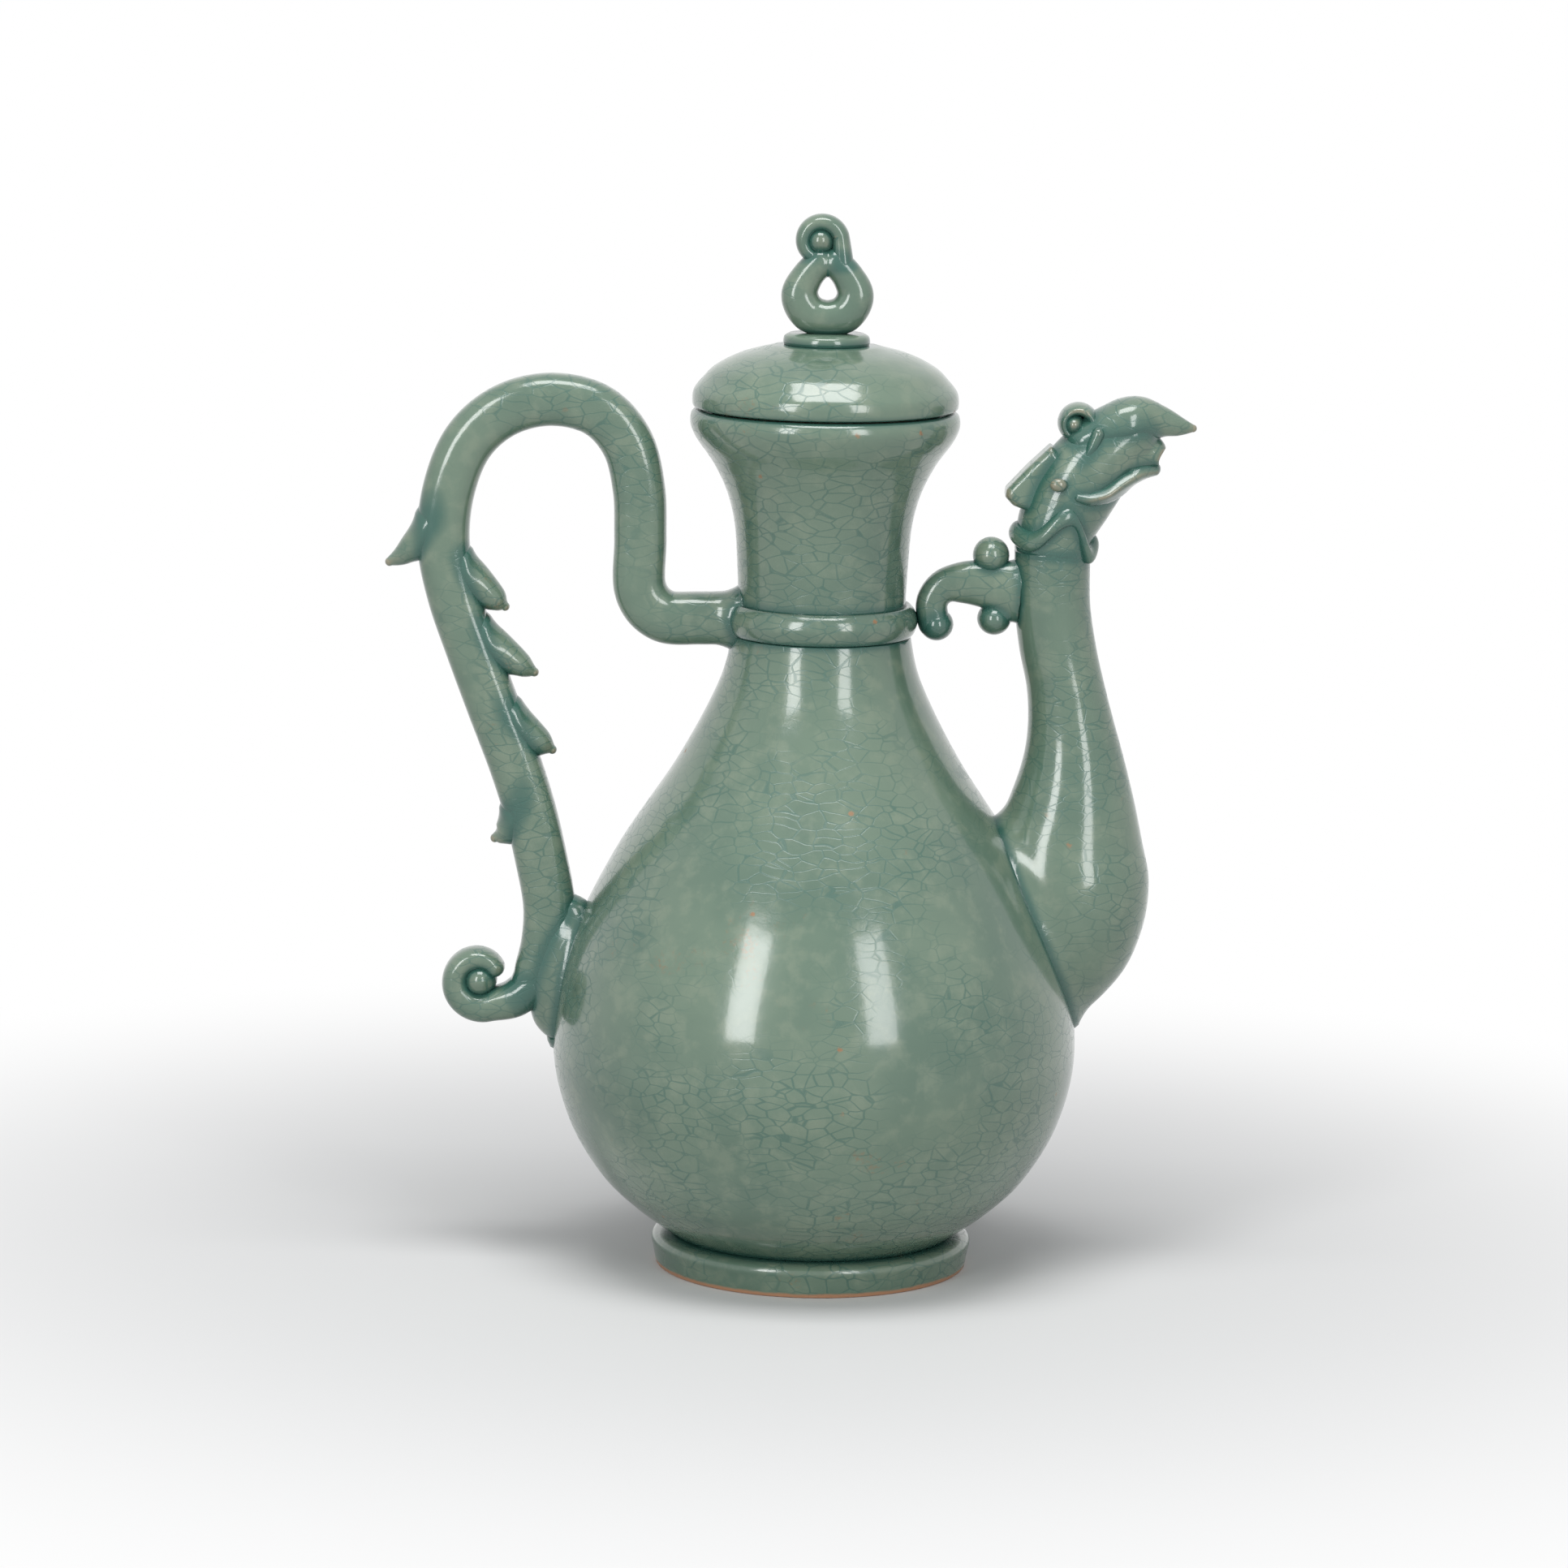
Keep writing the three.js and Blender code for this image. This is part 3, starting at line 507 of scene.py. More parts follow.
def spout_mesh():
    rings = []
    for near_x, near_z, far_x, far_z, depth in smooth_line(SPOUT_STATIONS, 200):
        span = Vector((far_x - near_x, 0, far_z - near_z))
        middle = place((near_x + far_x) / 2, 0, (near_z + far_z) / 2)
        rings.append((middle, span.normalized(), span.length / 2, depth))
    return lofted(rings, sides=112)


def channel_mesh():
    stations = [(x, z, CHANNEL_RADIUS, CHANNEL_RADIUS) for x, z in CHANNEL_ROUTE] + CHANNEL_END
    return bar(stations, steps=100, sides=32)


HEAD_STATIONS = [
    (SPOUT_X, SPOUT_TOP - 1, 10.8, 10.8), (65.6, 213.5, 11.2, 11), (69, 221.6, 12.2, 11.2),
    (74, 229.4, 12, 10.8), (79.6, 235.6, 10.8, 9.8), (84.6, 239.6, 9, 8.6),
]
MUZZLE_STATIONS = [(78, 231, 7, 8.6), (86, 233.8, 6.4, 7), (91, 234.9, 5, 4.8)]
BEAK_STATIONS = [
    (73, 237.8, 5.4, 7.6), (79.5, 241.6, 5.8, 8.4), (84.5, 243.8, 6.2, 8.6),
    (88.6, 244.4, 6.0, 7.4), (93.6, 243.7, 4.5, 5), (99, 242.3, 2.9, 3.1),
    (103.2, 241.7, 1.1, 1.2),
]
JAW_STATIONS = [
    (71, 222.8, 1.4, 11.2), (74.6, 222.4, 2, 12), (79.4, 223.8, 2.4, 11.6),
    (84, 226.8, 2.5, 9.6), (88.6, 229.2, 2.3, 7.2), (92.8, 229.6, 1.4, 3.6),
]
CREST_ROOT = (76.4, 236.6, 2.2, 6.4)
CREST_TAIL = [(76.3, 240.6, 2, 2.6), (74.6, 236.6, 1.9, 2.6), (71.9, 231.8, 1, 1.8)]
CREST_TAIL_Y = 7.6
NAPE_OUTLINE = [
    (51, 224), (57, 230.5), (63.4, 236.6), (66.8, 233.6), (66, 224), (60, 217), (53, 219.6),
    (50.8, 222),
]
RUFF_X = SPOUT_X + 0.3
RUFF_REACH = SPOUT_X + 10.9
RUFF_LEVEL = SPOUT_TOP + 4.2
RUFF_SIDES = 24
# Angle from the front of the neck and rise of the ruff's hem there
HEM = [(0, -1.6), (0.5, -4.2), (1.2, 7), (2.24, -0.6), (math.pi, 1.2)]


def head_meshes():
    return [bar(HEAD_STATIONS, steps=40, sides=36, round_end=True),
            bar(MUZZLE_STATIONS, steps=30, sides=36, round_end=True)]


def beak_mesh():
    return bar(BEAK_STATIONS, steps=80, sides=40, square=0.9, round_start=True, round_end=True)


def jaw_mesh():
    return bar(JAW_STATIONS, steps=80, sides=40, round_start=True, round_end=True)


def crest_meshes():
    """The rolled crest and a short tail of it down each side of the head."""
    rolled = scroll_stations(
        (70.8, 242.6), start=-0.12 * math.pi, sweep=1.4 * math.pi, radius=4.3, shrink=0.5,
        half=2, thin=0.3, depth=6.6,
    )
    tails = [bar(CREST_TAIL, steps=30, sides=24, y=y, round_start=True, round_end=True)
             for y in (-CREST_TAIL_Y, CREST_TAIL_Y)]
    return [bar([CREST_ROOT, *rolled], steps=70, sides=32, round_end=True), *tails]


def hem_rise(angle):
    """How far the ruff's hem rises or falls at an angle from the front of the neck."""
    (a, low), (b, high) = next(pair for pair in zip(HEM, HEM[1:]) if angle <= pair[1][0])
    share = (angle - a) / (b - a)
    return low + (high - low) * (1 - math.cos(math.pi * share)) / 2


def ruff_mesh():
    """A ring of clay turned about the head's neck, with its hem pulled into waves."""
    bm = bmesh.new()
    loop = bmesh.ops.create_circle(bm, segments=RUFF_SIDES, radius=1)["verts"]
    for i, vert in enumerate(loop):
        angle = TAU * i / RUFF_SIDES
        rise = math.sin(angle)
        vert.co = place(
            RUFF_REACH - rise * 0.5 + 2.1 * math.cos(angle), 0, RUFF_LEVEL + 2.9 * rise)
    turn(bm, RUFF_X, RUFF_STEPS)
    middle = place(RUFF_X, 0, 0)
    for vert in bm.verts:
        angle = abs(math.atan2(vert.co.y, vert.co.x - middle.x))
        vert.co.z += hem_rise(angle) * MM
    return bm


ARCH_STATIONS = [
    (31.6, 185.6, 4.6, 5.4), (31, 191.4, 4.5, 5.2), (34.2, 195.8, 4.8, 5), (40, 197, 6, 5),
    (46.6, 196.6, 7, 5.2), (52, 195.4, 8.4, 5.8), (56, 195, 9.6, 6.6),
]
TOE_STATIONS = [(53.6, 191.6, 4, 4.8), (50.6, 188.6, 3.6, 4.8), (48.6, 187.6, 3.4, 4.8)]


def bridge_meshes():
    return [bar(ARCH_STATIONS, steps=60, sides=36, square=0.85, round_start=True),
            bar(TOE_STATIONS, steps=20, sides=32, square=0.9, round_start=True, round_end=True)]


KNOB_STRAP = [
    (-0.2, PAD_TOP + 4.2, 5, 5.5), (-5.2, PAD_TOP + 5.6, 5.3, 5.5),
    (-7.8, PAD_TOP + 10.6, 5.2, 5.3), (-5.6, PAD_TOP + 16, 4.5, 5), (-2, PAD_TOP + 20, 4.2, 4.8),
]
KNOB_CURL_ROOT = (4.2, LOOP_TOP - 2.6, 3.2, 4.7)


def loop_meshes():
    """The two halves of the knob's loop, which run into each other at its foot and top."""
    mirrored = [(-x, z, half, depth) for x, z, half, depth in KNOB_STRAP]
    return [bar(strap, steps=40, sides=28, square=0.85, round_start=True, round_end=True)
            for strap in (KNOB_STRAP, mirrored)]


def curl_mesh():
    rolled = scroll_stations(
        (-2, LOOP_TOP + 4.5), start=0.02 * math.pi, sweep=1.3 * math.pi, radius=5.5, shrink=0.7,
        half=2.6, thin=0.5, depth=4.4,
    )
    return bar([KNOB_CURL_ROOT, *rolled], steps=60, sides=28, square=0.85, round_end=True)


NOISE_MEAN = 0.5


class Value:
    """What comes out of a node, which can be reckoned with like a number."""

    def __init__(self, nodes, socket):
        self.nodes = nodes
        self.socket = socket

    def _math(self, operation, *inputs):
        return self.nodes.node("ShaderNodeMath", {"operation": operation}, inputs)

    def __add__(self, other):
        return self._math("ADD", self, other)

    def __sub__(self, other):
        return self._math("SUBTRACT", self, other)

    def __rsub__(self, other):
        return self._math("SUBTRACT", other, self)

    def __mul__(self, other):
        return self._math("MULTIPLY", self, other)

    __radd__ = __add__

    def clamp(self):
        return self.nodes.node("ShaderNodeClamp", {}, {"Value": self})

    def step(self, low, high):
        """0 below low, 1 above high, and smooth between."""
        return self.nodes.node(
            "ShaderNodeMapRange", {"interpolation_type": "SMOOTHSTEP"},
            {"Value": self, "From Min": low, "From Max": high},
        )

    def ragged(self, noise, amount):
        """The value with a noise laid on it, so that what is stepped from it frays."""
        return self + (noise - NOISE_MEAN) * amount


class Nodes:
    """A tree of shader nodes and the one way in which they are made."""

    def __init__(self, tree):
        self.tree = tree

    def node(self, kind, settings=None, sockets=None, output=0):
        """Adds a node with its settings and inputs, and returns one of its outputs."""
        added = self.tree.nodes.new(kind)
        for key, value in (settings or {}).items():
            setattr(added, key, value)
        pairs = sockets.items() if isinstance(sockets, dict) else enumerate(sockets or [])
        for key, value in pairs:
            self.feed(added.inputs[key], value)
        return Value(self, added.outputs[output])

    def feed(self, socket, value):
        if isinstance(value, Value):
            self.tree.links.new(value.socket, socket)
        else:
            socket.default_value = value

    def mix(self, share, first, second):
        """Mixes two colours. The node's colour sockets have numbers, as their names repeat."""
        return self.node(
            "ShaderNodeMix", {"data_type": "RGBA"}, {0: share, 6: first, 7: second}, output=2)

    def noise(self, where, scale, detail=4.0, rough=0.55):
        return self.node("ShaderNodeTexNoise", {}, {
            "Vector": where, "Scale": scale, "Detail": detail, "Roughness": rough})

    def blend(self, share, first, second):
        return self.node("ShaderNodeMixShader", {}, [share, first, second])


class Glaze(Nodes):
    """The nodes of a new material, which lead to its shader."""

    def __init__(self, name):
        self.material = bpy.data.materials.new(name)
        self.material.use_nodes = True
        super().__init__(self.material.node_tree)
        self.shader = self.tree.nodes["Principled BSDF"]
        self.where = self.node("ShaderNodeTexCoord", output="Object")

    def attribute(self, name):
        return self.node("ShaderNodeAttribute", {"attribute_name": name}, output="Fac")

    def surface(self, tone, rough):
        self.feed(self.shader.inputs["Base Color"], tone)
        self.feed(self.shader.inputs["Roughness"], rough)

    def bump(self, strength, distance, height):
        bump = self.node("ShaderNodeBump", {}, {
            "Strength": strength, "Distance": distance, "Height": height})
        self.feed(self.shader.inputs["Normal"], bump)


def rgba(colour):
    return (*colour, 1.0)


# How often the patterns of the glaze and the clay repeat in a metre
CLOUDS = 22
MOTTLE = 160
PITS = 900
CRACKLE = 170
CRACKLE_WAVER = 60
CRACKLE_PATCHES = 26
SPECKS = 95
SPECK_PATCHES = 41
STAINS = 19
THROWING_LINES = 46
CLAY_CLOUDS = 60
CLAY_GRIT = 1400
# How far the crackle strays in metres, and how its cells are squashed along each axis
CRACKLE_STRAY = (0.006, 0.006, 0.006)
CRACKLE_SQUASH = (1.0, 1.0, 2.1)
# Height over the table, in metres, at which the glaze begins and at which it covers the foot
GLAZE_LINE = (0.0008, 0.0016)
GLAZE_LINE_STRAY = 0.0012
# What is added to the edges' thinness on pieces in the thin slot
THIN_SLOT = 0.22


def crackle_lines(g):
    """Fine crackle, in patches."""
    stray = g.node(
        "ShaderNodeTexNoise", {}, {"Vector": g.where, "Scale": CRACKLE_WAVER}, output="Color")
    bent = g.node(
        "ShaderNodeVectorMath", {"operation": "MULTIPLY_ADD"}, [stray, CRACKLE_STRAY, g.where])
    flat = g.node("ShaderNodeVectorMath", {"operation": "MULTIPLY"}, [bent, CRACKLE_SQUASH])
    cells = g.node("ShaderNodeTexVoronoi", {"feature": "DISTANCE_TO_EDGE"}, {
        "Vector": flat, "Scale": CRACKLE})
    patches = g.noise(g.where, CRACKLE_PATCHES, 2).step(0.38, 0.56)
    return (1 - cells.step(0.015, 0.06)) * patches


def iron_specks(g, pits):
    """Small round specks of iron with frayed rims, in patches."""
    dots = g.node("ShaderNodeTexVoronoi", {}, {"Vector": g.where, "Scale": SPECKS})
    patches = g.noise(g.where, SPECK_PATCHES, 2).step(0.53, 0.6)
    return (1 - dots.ragged(pits, 0.25).step(0.03, 0.09)) * patches


def celadon(colours, name, thinness):
    """The glaze: grey-green, pale where thin, dark teal where it pools, crackled and stained."""
    g = Glaze(name)
    cloud = g.noise(g.where, CLOUDS, 3)
    mottle = g.noise(g.where, MOTTLE, 5)
    pits = g.noise(g.where, PITS, 3)
    height = g.node("ShaderNodeSeparateXYZ", {}, [g.where], output="Z")
    lines = g.node("ShaderNodeTexWave", {"wave_type": "BANDS", "bands_direction": "Z"}, {
        "Vector": g.where, "Scale": THROWING_LINES, "Distortion": 1.4, "Detail": 2.0})
    crackle = crackle_lines(g)
    speck = iron_specks(g, pits)

    milk = mottle.step(0.45, 0.7)
    ridge = (g.attribute("edge") + thinness).ragged(mottle, 0.5).step(0.25, 0.85)
    deep = g.attribute("pool").ragged(mottle, 0.35).step(0.15, 0.9)
    stain = g.noise(g.where, STAINS, 6, 0.75).step(0.6, 0.7) * pits.step(0.45, 0.62)
    bare = 1 - height.ragged(mottle, GLAZE_LINE_STRAY).step(*GLAZE_LINE)

    tone = g.mix(cloud.step(0.38, 0.62), rgba(colours.glaze_dark), rgba(colours.glaze))
    for share, colour in (
        (milk * 0.5, colours.glaze_pale),
        (ridge * 0.85, colours.thin),
        (deep * 0.9, colours.pool),
        (crackle * 0.6, colours.pool),
        (speck * 0.8, colours.iron),
        (stain * 0.55, colours.iron),
        (bare, colours.bare),
    ):
        tone = g.mix(share, tone, rgba(colour))

    rough = 0.1 + mottle * 0.12 + crackle * 0.15 + speck * 0.3 + bare * 0.6
    g.surface(tone, rough.clamp())
    relief = mottle * 0.25 + pits * 0.07 - crackle * 0.12 + lines * 0.08 + cloud * 0.6
    g.bump(strength=0.25, distance=0.0008, height=relief)
    g.shader.inputs["Coat Weight"].default_value = 0.35
    g.shader.inputs["Coat Roughness"].default_value = 0.06
    return g.material


def bare_clay(colours):
    """Unglazed stoneware: matt, orange-brown and speckled."""
    g = Glaze("bare_clay")
    cloud = g.noise(g.where, CLAY_CLOUDS, 4)
    grit = g.noise(g.where, CLAY_GRIT, 3)
    tone = g.mix(cloud.step(0.35, 0.65) * 0.5, rgba(colours.bare), rgba(colours.thin))
    tone = g.mix(grit.step(0.6, 0.72) * 0.7, tone, rgba(colours.iron))
    g.surface(tone, 0.75 + cloud * 0.2)
    g.bump(strength=0.4, distance=0.0004, height=grit)
    return g.material


WHITE = (1.0, 1.0, 1.0, 1.0)
BACKDROP = (0.8, 0.82, 0.84, 1.0)
BACKDROP_STRENGTH = 0.42
FLOOR_PALE = (0.62, 0.62, 0.62, 1.0)
FLOOR_GREY = (0.56, 0.56, 0.565, 1.0)
FLOOR_SIZE = 6
# Distances from the ewer, in metres, over which the floor fades to white
FLOOR_FADE = (0.12, 0.42)
# Name, place, width and height, and power of each lamp
LAMPS = [
    ("left_softbox", (-0.85, -1.35, 0.75), (0.4, 1.1), 13),
    ("right_softbox", (0.8, -1.4, 0.75), (0.4, 1.1), 10),
    ("top_softbox", (0.0, -0.35, 1.5), (0.9, 0.6), 15),
]
AIM = Vector((POT_X, 0, 0.15))


def seen_white(g):
    """1 for rays from the camera, a reflection or glass, which see the backdrop white."""
    rays = [g.node("ShaderNodeLightPath", output=name) for name in (
        "Is Camera Ray", "Is Glossy Ray", "Is Transmission Ray")]
    return (rays[0] + rays[1] + rays[2]).clamp()


def floor_material():
    """A pale floor that keeps the shadow near the ewer and fades to white further off."""
    g = Glaze("pale_floor")
    cloud = g.noise(g.where, 3, 2)
    g.surface(g.mix(cloud * 0.3, FLOOR_PALE, FLOOR_GREY), 0.75)
    far = g.node("ShaderNodeVectorMath", {"operation": "LENGTH"}, [g.where], output="Value")
    white = g.node("ShaderNodeEmission", {}, {"Color": WHITE, "Strength": 1.0})
    lit = Value(g, g.shader.outputs["BSDF"])
    shown = g.blend(seen_white(g) * far.step(*FLOOR_FADE), lit, white)
    g.feed(g.tree.nodes["Material Output"].inputs["Surface"], shown)
    return g.material


# A bend is one over its radius in metres. These say at which bend an edge or a hollow sets in,
# how much further it is full, and how the bends are evened out over neighbouring vertices
EDGE_FROM = 150
EDGE_SPAN = 620
EDGE_MOST = 0.85
HOLLOW_FROM = 60
HOLLOW_SPAN = 300
BEND_ROUNDS = 6
BEND_KEPT = 0.4
POOL_REACH = 3.2 * MM
LEAST_SQUARE = 1e-12


def coordinates(mesh):
    """The vertices of a mesh, one row each."""
    co = np.empty(len(mesh.vertices) * 3)
    mesh.vertices.foreach_get("co", co)
    return co.reshape(-1, 3)


def bending(mesh, co):
    """How sharply a mesh bends at each vertex: above 0 on an edge, below 0 in a hollow."""
    normals = np.array([n.vector for n in mesh.vertex_normals])
    ends = np.empty(len(mesh.edges) * 2, int)
    mesh.edges.foreach_get("vertices", ends)
    a, b = ends.reshape(-1, 2).T
    span = co[b] - co[a]
    square = np.maximum(np.einsum("ij,ij->i", span, span), LEAST_SQUARE)

    def summed(at_a, at_b):
        total = np.zeros(len(co))
        np.add.at(total, a, at_a)
        np.add.at(total, b, at_b)
        return total

    def turned(end):
        return np.einsum("ij,ij->i", normals[end], span) / square * 2

    links = np.maximum(summed(1, 1), 1)
    bend = summed(-turned(a), turned(b)) / links
    for _ in range(BEND_ROUNDS):
        bend = BEND_KEPT * bend + (1 - BEND_KEPT) * summed(bend[b], bend[a]) / links
    return bend


def weigh_surface(piece, others):
    """Stores how thin the glaze runs on each edge and how it pools in each recess and joint."""
    mesh = piece.data
    co = coordinates(mesh)
    bend = bending(mesh, co)
    edge = np.clip((bend - EDGE_FROM) / EDGE_SPAN, 0, EDGE_MOST)
    pool = np.clip((-bend - HOLLOW_FROM) / HOLLOW_SPAN, 0, 1)
    low, high = co.min(0) - POOL_REACH, co.max(0) + POOL_REACH
    for other, tree, other_low, other_high in others:
        if other is piece or (other_low > high).any() or (other_high < low).any():
            continue
        near = ((co > other_low - POOL_REACH) & (co < other_high + POOL_REACH)).all(1)
        for i in np.nonzero(near)[0]:
            spot, _, _, gap = tree.find_nearest(Vector(co[i]), POOL_REACH)
            if spot is not None:
                pool[i] = max(pool[i], 1 - gap / POOL_REACH)
    for name, values in (("edge", edge), ("pool", pool)):
        layer = mesh.attributes.new(name, "FLOAT", "POINT")
        layer.data.foreach_set("value", values.astype(np.float32))


class EwerColours(bpy.types.PropertyGroup):
    """Colours of the glaze, linear."""

    glaze: bpy.props.FloatVectorProperty(
        name="Glaze", description="Grey-green of the glaze at its usual depth",
        default=(0.115, 0.172, 0.124), subtype="COLOR", min=0, max=1)
    glaze_dark: bpy.props.FloatVectorProperty(
        name="Deeper glaze", description="Clouds where the glaze lies deeper",
        default=(0.083, 0.14, 0.102), subtype="COLOR", min=0, max=1)
    glaze_pale: bpy.props.FloatVectorProperty(
        name="Milky glaze", description="Milky flecks in the glaze",
        default=(0.17, 0.215, 0.155), subtype="COLOR", min=0, max=1)
    thin: bpy.props.FloatVectorProperty(
        name="Thin glaze", description="Brownish clay showing through on the edges",
        default=(0.215, 0.195, 0.135), subtype="COLOR", min=0, max=1)
    pool: bpy.props.FloatVectorProperty(
        name="Pooled glaze", description="Dark teal where the glaze pools",
        default=(0.022, 0.088, 0.07), subtype="COLOR", min=0, max=1)
    iron: bpy.props.FloatVectorProperty(
        name="Iron stain", description="Brown iron stains and specks",
        default=(0.24, 0.105, 0.035), subtype="COLOR", min=0, max=1)
    bare: bpy.props.FloatVectorProperty(
        name="Bare clay", description="Unglazed clay on the foot and the lid's ring",
        default=(0.33, 0.17, 0.09), subtype="COLOR", min=0, max=1)


class EwerCamera(bpy.types.PropertyGroup):
    """Where the photograph was taken from."""

    distance: bpy.props.FloatProperty(
        name="Distance", description="Pot axis to camera", default=1.768, unit="LENGTH")
    height: bpy.props.FloatProperty(
        name="Height", description="Camera above the foot", default=0.4434, unit="LENGTH")
    side: bpy.props.FloatProperty(
        name="Side", description="Camera left of the pot axis", default=0.0098, unit="LENGTH")
    pitch: bpy.props.FloatProperty(
        name="Pitch", description="Downward tilt", default=math.radians(9.785),
        subtype="ANGLE")
    roll: bpy.props.FloatProperty(
        name="Roll", description="Lean of the picture", default=math.radians(0.99),
        subtype="ANGLE")
    lens: bpy.props.FloatProperty(
        name="Lens", description="Focal length on a 36 mm sensor, in mm", default=145.4)


class EWER_OT_body(bpy.types.Operator):
    """Throws the foot, belly, neck and collar"""

    bl_idname = "ewer.body"
    bl_label = "Body"

    def execute(self, context):
        keep(new_piece("thrown_foot", foot_mesh()), "ewer", "celadon_glaze", "foot_ring")
        belly = bore(new_piece("thrown_belly", belly_mesh()))
        keep(belly, "ewer", "celadon_glaze", "belly")
        keep(new_piece("thrown_neck", neck_mesh()), "ewer", "celadon_glaze", "neck")
        keep(new_piece("raised_collar", collar_mesh()), "ewer", "thin_glaze", "collar_band")
        return {"FINISHED"}


class EWER_OT_handle(bpy.types.Operator):
    """Bends the handle and lutes on its thorns, scroll and pad"""

    bl_idname = "ewer.handle"
    bl_label = "Handle"

    def execute(self, context):
        carriers = [made["thrown_belly"], made["thrown_neck"], made["raised_collar"]]
        handle = new_piece("strap_handle", handle_mesh())
        lute(handle, carriers, reach=5, amount=1.6)
        keep(handle, "ewer", "celadon_glaze", "handle")
        for number, (foot, tip) in enumerate(THORNS, 1):
            thorn = new_piece(f"thorn_{number}", thorn_mesh(foot, tip))
            lute(thorn, [handle], reach=2.5, amount=0.9)
            keep(thorn, "ewer", "thin_glaze", f"handle_barb_{number}")
        keep(new_piece("rolled_tail", scroll_mesh()), "ewer", "celadon_glaze", "handle_scroll")
        x, z = SCROLL_CENTRE
        roll_ball("rolled_tail_bead", (x, 0, z), (4.9, 7, 4.9),
                  "ewer", "thin_glaze", "handle_scroll_bead")
        pad = new_piece("luting_pad", pad_mesh())
        lute(pad, carriers, reach=4, amount=1.5)
        keep(pad, "ewer", "celadon_glaze", "handle_luting_pad")
        return {"FINISHED"}


class EWER_OT_spout(bpy.types.Operator):
    """Draws the hollow spout"""

    bl_idname = "ewer.spout"
    bl_label = "Spout"

    def execute(self, context):
        spout = new_piece("drawn_spout", spout_mesh())
        lute(spout, [made["thrown_belly"]], reach=6, amount=2)
        keep(bore(spout), "ewer", "celadon_glaze", "spout")
        return {"FINISHED"}


class EWER_OT_head(bpy.types.Operator):
    """Models the phoenix head on the spout"""

    bl_idname = "ewer.head"
    bl_label = "Phoenix head"

    def execute(self, context):
        head = knead(new_piece("bird_head", *head_meshes()), voxel=0.5, rounds=8)
        keep(bore(head), "ewer", "celadon_glaze", "phoenix_head")
        for name, mesh, node in (
            ("bird_beak", beak_mesh(), "upper_beak"), ("bird_jaw", jaw_mesh(), "lower_jaw"),
        ):
            lip = new_piece(name, mesh)
            lute(lip, [head], reach=2.5, amount=0.8)
            keep(bore(lip), "ewer", "thin_glaze", node)
        crest = knead(new_piece("bird_crest_curl", *crest_meshes()), voxel=0.35, rounds=4)
        keep(crest, "ewer", "celadon_glaze", "crest_curl")
        roll_ball("bird_crest_bead", (69.6, 0, 242.6), (3.2, 7, 3.2),
                  "ewer", "thin_glaze", "crest_curl_bead")
        plate = new_piece("bird_nape_plate", slab(NAPE_OUTLINE, depth=13, rounding=2.2))
        keep(knead(plate, voxel=0.4, rounds=10), "ewer", "thin_glaze", "nape_crest")
        for name, y in (("left", -11.2), ("right", 11.2)):
            roll_ball(f"bird_bead_{name}", (65.4, y, 226.4), (2.4, 1.6, 1.9),
                      "ewer", "thin_glaze", f"eye_bead_{name}", detail=24)
        keep(new_piece("bird_ruff", ruff_mesh()), "ewer", "celadon_glaze", "neck_ruff")
        return {"FINISHED"}


class EWER_OT_bridge(bpy.types.Operator):
    """Models the cloud-scroll bridge between collar and spout"""

    bl_idname = "ewer.bridge"
    bl_label = "Bridge"

    def execute(self, context):
        bridge = knead(new_piece("cloud_bridge", *bridge_meshes()), voxel=0.45, rounds=10)
        keep(bridge, "ewer", "celadon_glaze", "bridge_strut")
        roll_ball("cloud_bead", (47.4, 0, 204.9), (5.2, 6, 5.2),
                  "ewer", "thin_glaze", "strut_top_bead")
        roll_ball("cloud_foot_collar", (32.4, 0, 185), (4.8, 6.2, 4.6),
                  "ewer", "celadon_glaze", "strut_collar_foot")
        roll_ball("cloud_foot_spout", (48.6, 0, 186.9), (4.8, 6.2, 4.6),
                  "ewer", "celadon_glaze", "strut_spout_foot")
        return {"FINISHED"}


class EWER_OT_lid(bpy.types.Operator):
    """Throws the lid and models its knob"""

    bl_idname = "ewer.lid"
    bl_label = "Lid"

    def execute(self, context):
        keep(new_piece("thrown_lid", lid_mesh()), "lid", "celadon_glaze", "lid_dome")
        keep(new_piece("lid_locating_ring", flange_mesh()), "lid", "bare_rim", "lid_flange")
        keep(new_piece("knob_pad", pad_disc_mesh()), "lid", "celadon_glaze", "finial_pad")
        loop = knead(new_piece("knob_loop", *loop_meshes()), voxel=0.4, rounds=4)
        keep(loop, "lid", "celadon_glaze", "finial_loop")
        keep(new_piece("knob_curl", curl_mesh()), "lid", "celadon_glaze", "finial_curl")
        roll_ball("knob_bead", (-2.2, 0, LOOP_TOP + 4.6), (3.9, 4.8, 3.9),
                  "lid", "thin_glaze", "finial_curl_bead")
        return {"FINISHED"}


class EWER_OT_glaze(bpy.types.Operator):
    """Weighs every surface for thin and pooled glaze and gives it the material"""

    bl_idname = "ewer.glaze"
    bl_label = "Glaze"

    def execute(self, context):
        colours = context.scene.ewer_colours
        materials = {
            "celadon_glaze": celadon(colours, "celadon_glaze", 0.0),
            "thin_glaze": celadon(colours, "thin_glaze", THIN_SLOT),
            "bare_rim": bare_clay(colours),
        }
        others = []
        for piece in made.values():
            co = coordinates(piece.data)
            others.append((piece, tree_of(piece), co.min(0), co.max(0)))
        for piece in made.values():
            weigh_surface(piece, others)
            piece.data.materials.clear()
            piece.data.materials.append(materials[finish[piece.name]])
        return {"FINISHED"}


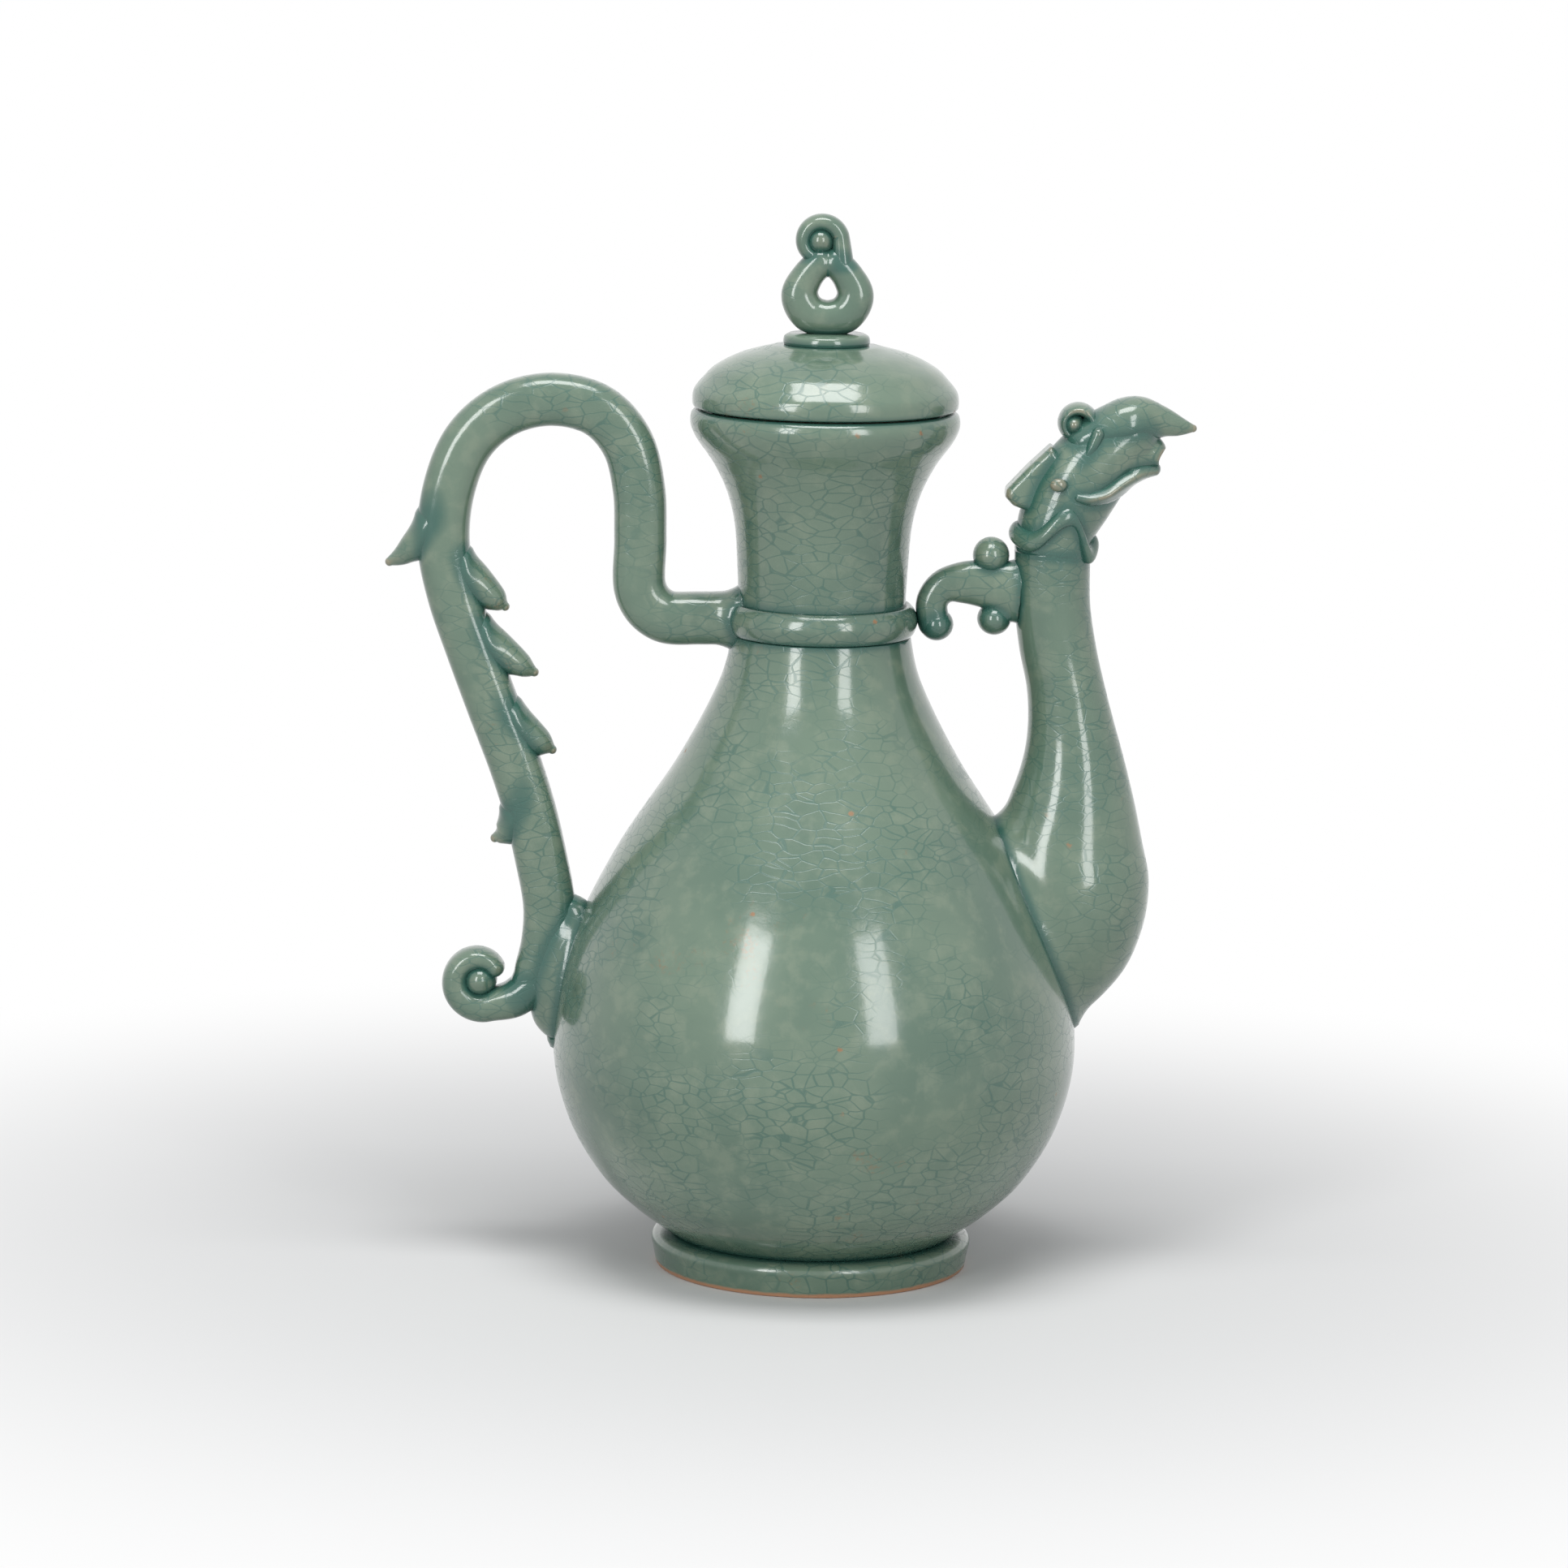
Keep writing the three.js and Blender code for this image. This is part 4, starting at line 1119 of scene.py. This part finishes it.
class EWER_OT_stage(bpy.types.Operator):
    """Sets the floor, the soft lamps, the pale world and the camera"""

    bl_idname = "ewer.stage"
    bl_label = "Stage"

    def execute(self, context):
        scene = context.scene
        bm = bmesh.new()
        bmesh.ops.create_grid(bm, x_segments=1, y_segments=1, size=FLOOR_SIZE)
        floor = new_piece("floor", bm)
        floor.data.materials.append(floor_material())
        self.world(scene)
        for name, spot, size, power in LAMPS:
            self.lamp(scene, name, Vector(spot), size, power)
        self.camera(scene)
        scene.view_settings.view_transform = "Standard"
        return {"FINISHED"}

    def world(self, scene):
        world = bpy.data.worlds.new("studio")
        world.use_nodes = True
        g = Nodes(world.node_tree)
        light = world.node_tree.nodes["Background"]
        light.inputs["Color"].default_value = BACKDROP
        light.inputs["Strength"].default_value = BACKDROP_STRENGTH
        white = g.node("ShaderNodeBackground", {}, {"Color": WHITE, "Strength": 1.0})
        shown = g.blend(seen_white(g), Value(g, light.outputs["Background"]), white)
        g.feed(world.node_tree.nodes["World Output"].inputs["Surface"], shown)
        scene.world = world

    def lamp(self, scene, name, spot, size, power):
        data = bpy.data.lights.new(name, "AREA")
        data.shape = "RECTANGLE"
        data.size, data.size_y = size
        data.energy = power
        light = bpy.data.objects.new(name, data)
        light.location = spot
        light.rotation_mode = "QUATERNION"
        light.rotation_quaternion = (AIM - spot).to_track_quat("-Z", "Y")
        scene.collection.objects.link(light)

    def camera(self, scene):
        setup = scene.ewer_camera
        data = bpy.data.cameras.new("camera")
        data.sensor_width = 36
        data.lens = setup.lens
        camera = bpy.data.objects.new("camera", data)
        camera.matrix_world = (
            Matrix.Translation((POT_X - setup.side, -setup.distance, setup.height))
            @ Matrix.Rotation(math.pi / 2 - setup.pitch, 4, "X")
            @ Matrix.Rotation(setup.roll, 4, "Z")
        )
        scene.collection.objects.link(camera)
        scene.camera = camera


class EWER_PT_panel(bpy.types.Panel):
    """Lists the steps, the colours and the camera"""

    bl_label = "Ewer"
    bl_idname = "EWER_PT_panel"
    bl_space_type = "VIEW_3D"
    bl_region_type = "UI"
    bl_category = "Ewer"

    def draw(self, context):
        for operator in STEPS:
            self.layout.operator(operator.bl_idname)
        for group in (context.scene.ewer_colours, context.scene.ewer_camera):
            for name in group.__annotations__:
                self.layout.prop(group, name)


STEPS = (
    EWER_OT_body, EWER_OT_handle, EWER_OT_spout, EWER_OT_head, EWER_OT_bridge, EWER_OT_lid,
    EWER_OT_glaze, EWER_OT_stage,
)
CLASSES = (EwerColours, EwerCamera, *STEPS, EWER_PT_panel)


def register():
    for cls in CLASSES:
        bpy.utils.register_class(cls)
    bpy.types.Scene.ewer_colours = bpy.props.PointerProperty(type=EwerColours)
    bpy.types.Scene.ewer_camera = bpy.props.PointerProperty(type=EwerCamera)


def unregister():
    del bpy.types.Scene.ewer_camera
    del bpy.types.Scene.ewer_colours
    for cls in reversed(CLASSES):
        bpy.utils.unregister_class(cls)


def main():
    register()
    bpy.ops.ewer.body()
    bpy.ops.ewer.handle()
    bpy.ops.ewer.spout()
    bpy.ops.ewer.head()
    bpy.ops.ewer.bridge()
    bpy.ops.ewer.lid()
    bpy.ops.ewer.glaze()
    bpy.ops.ewer.stage()


if __name__ == "__main__":
    main()
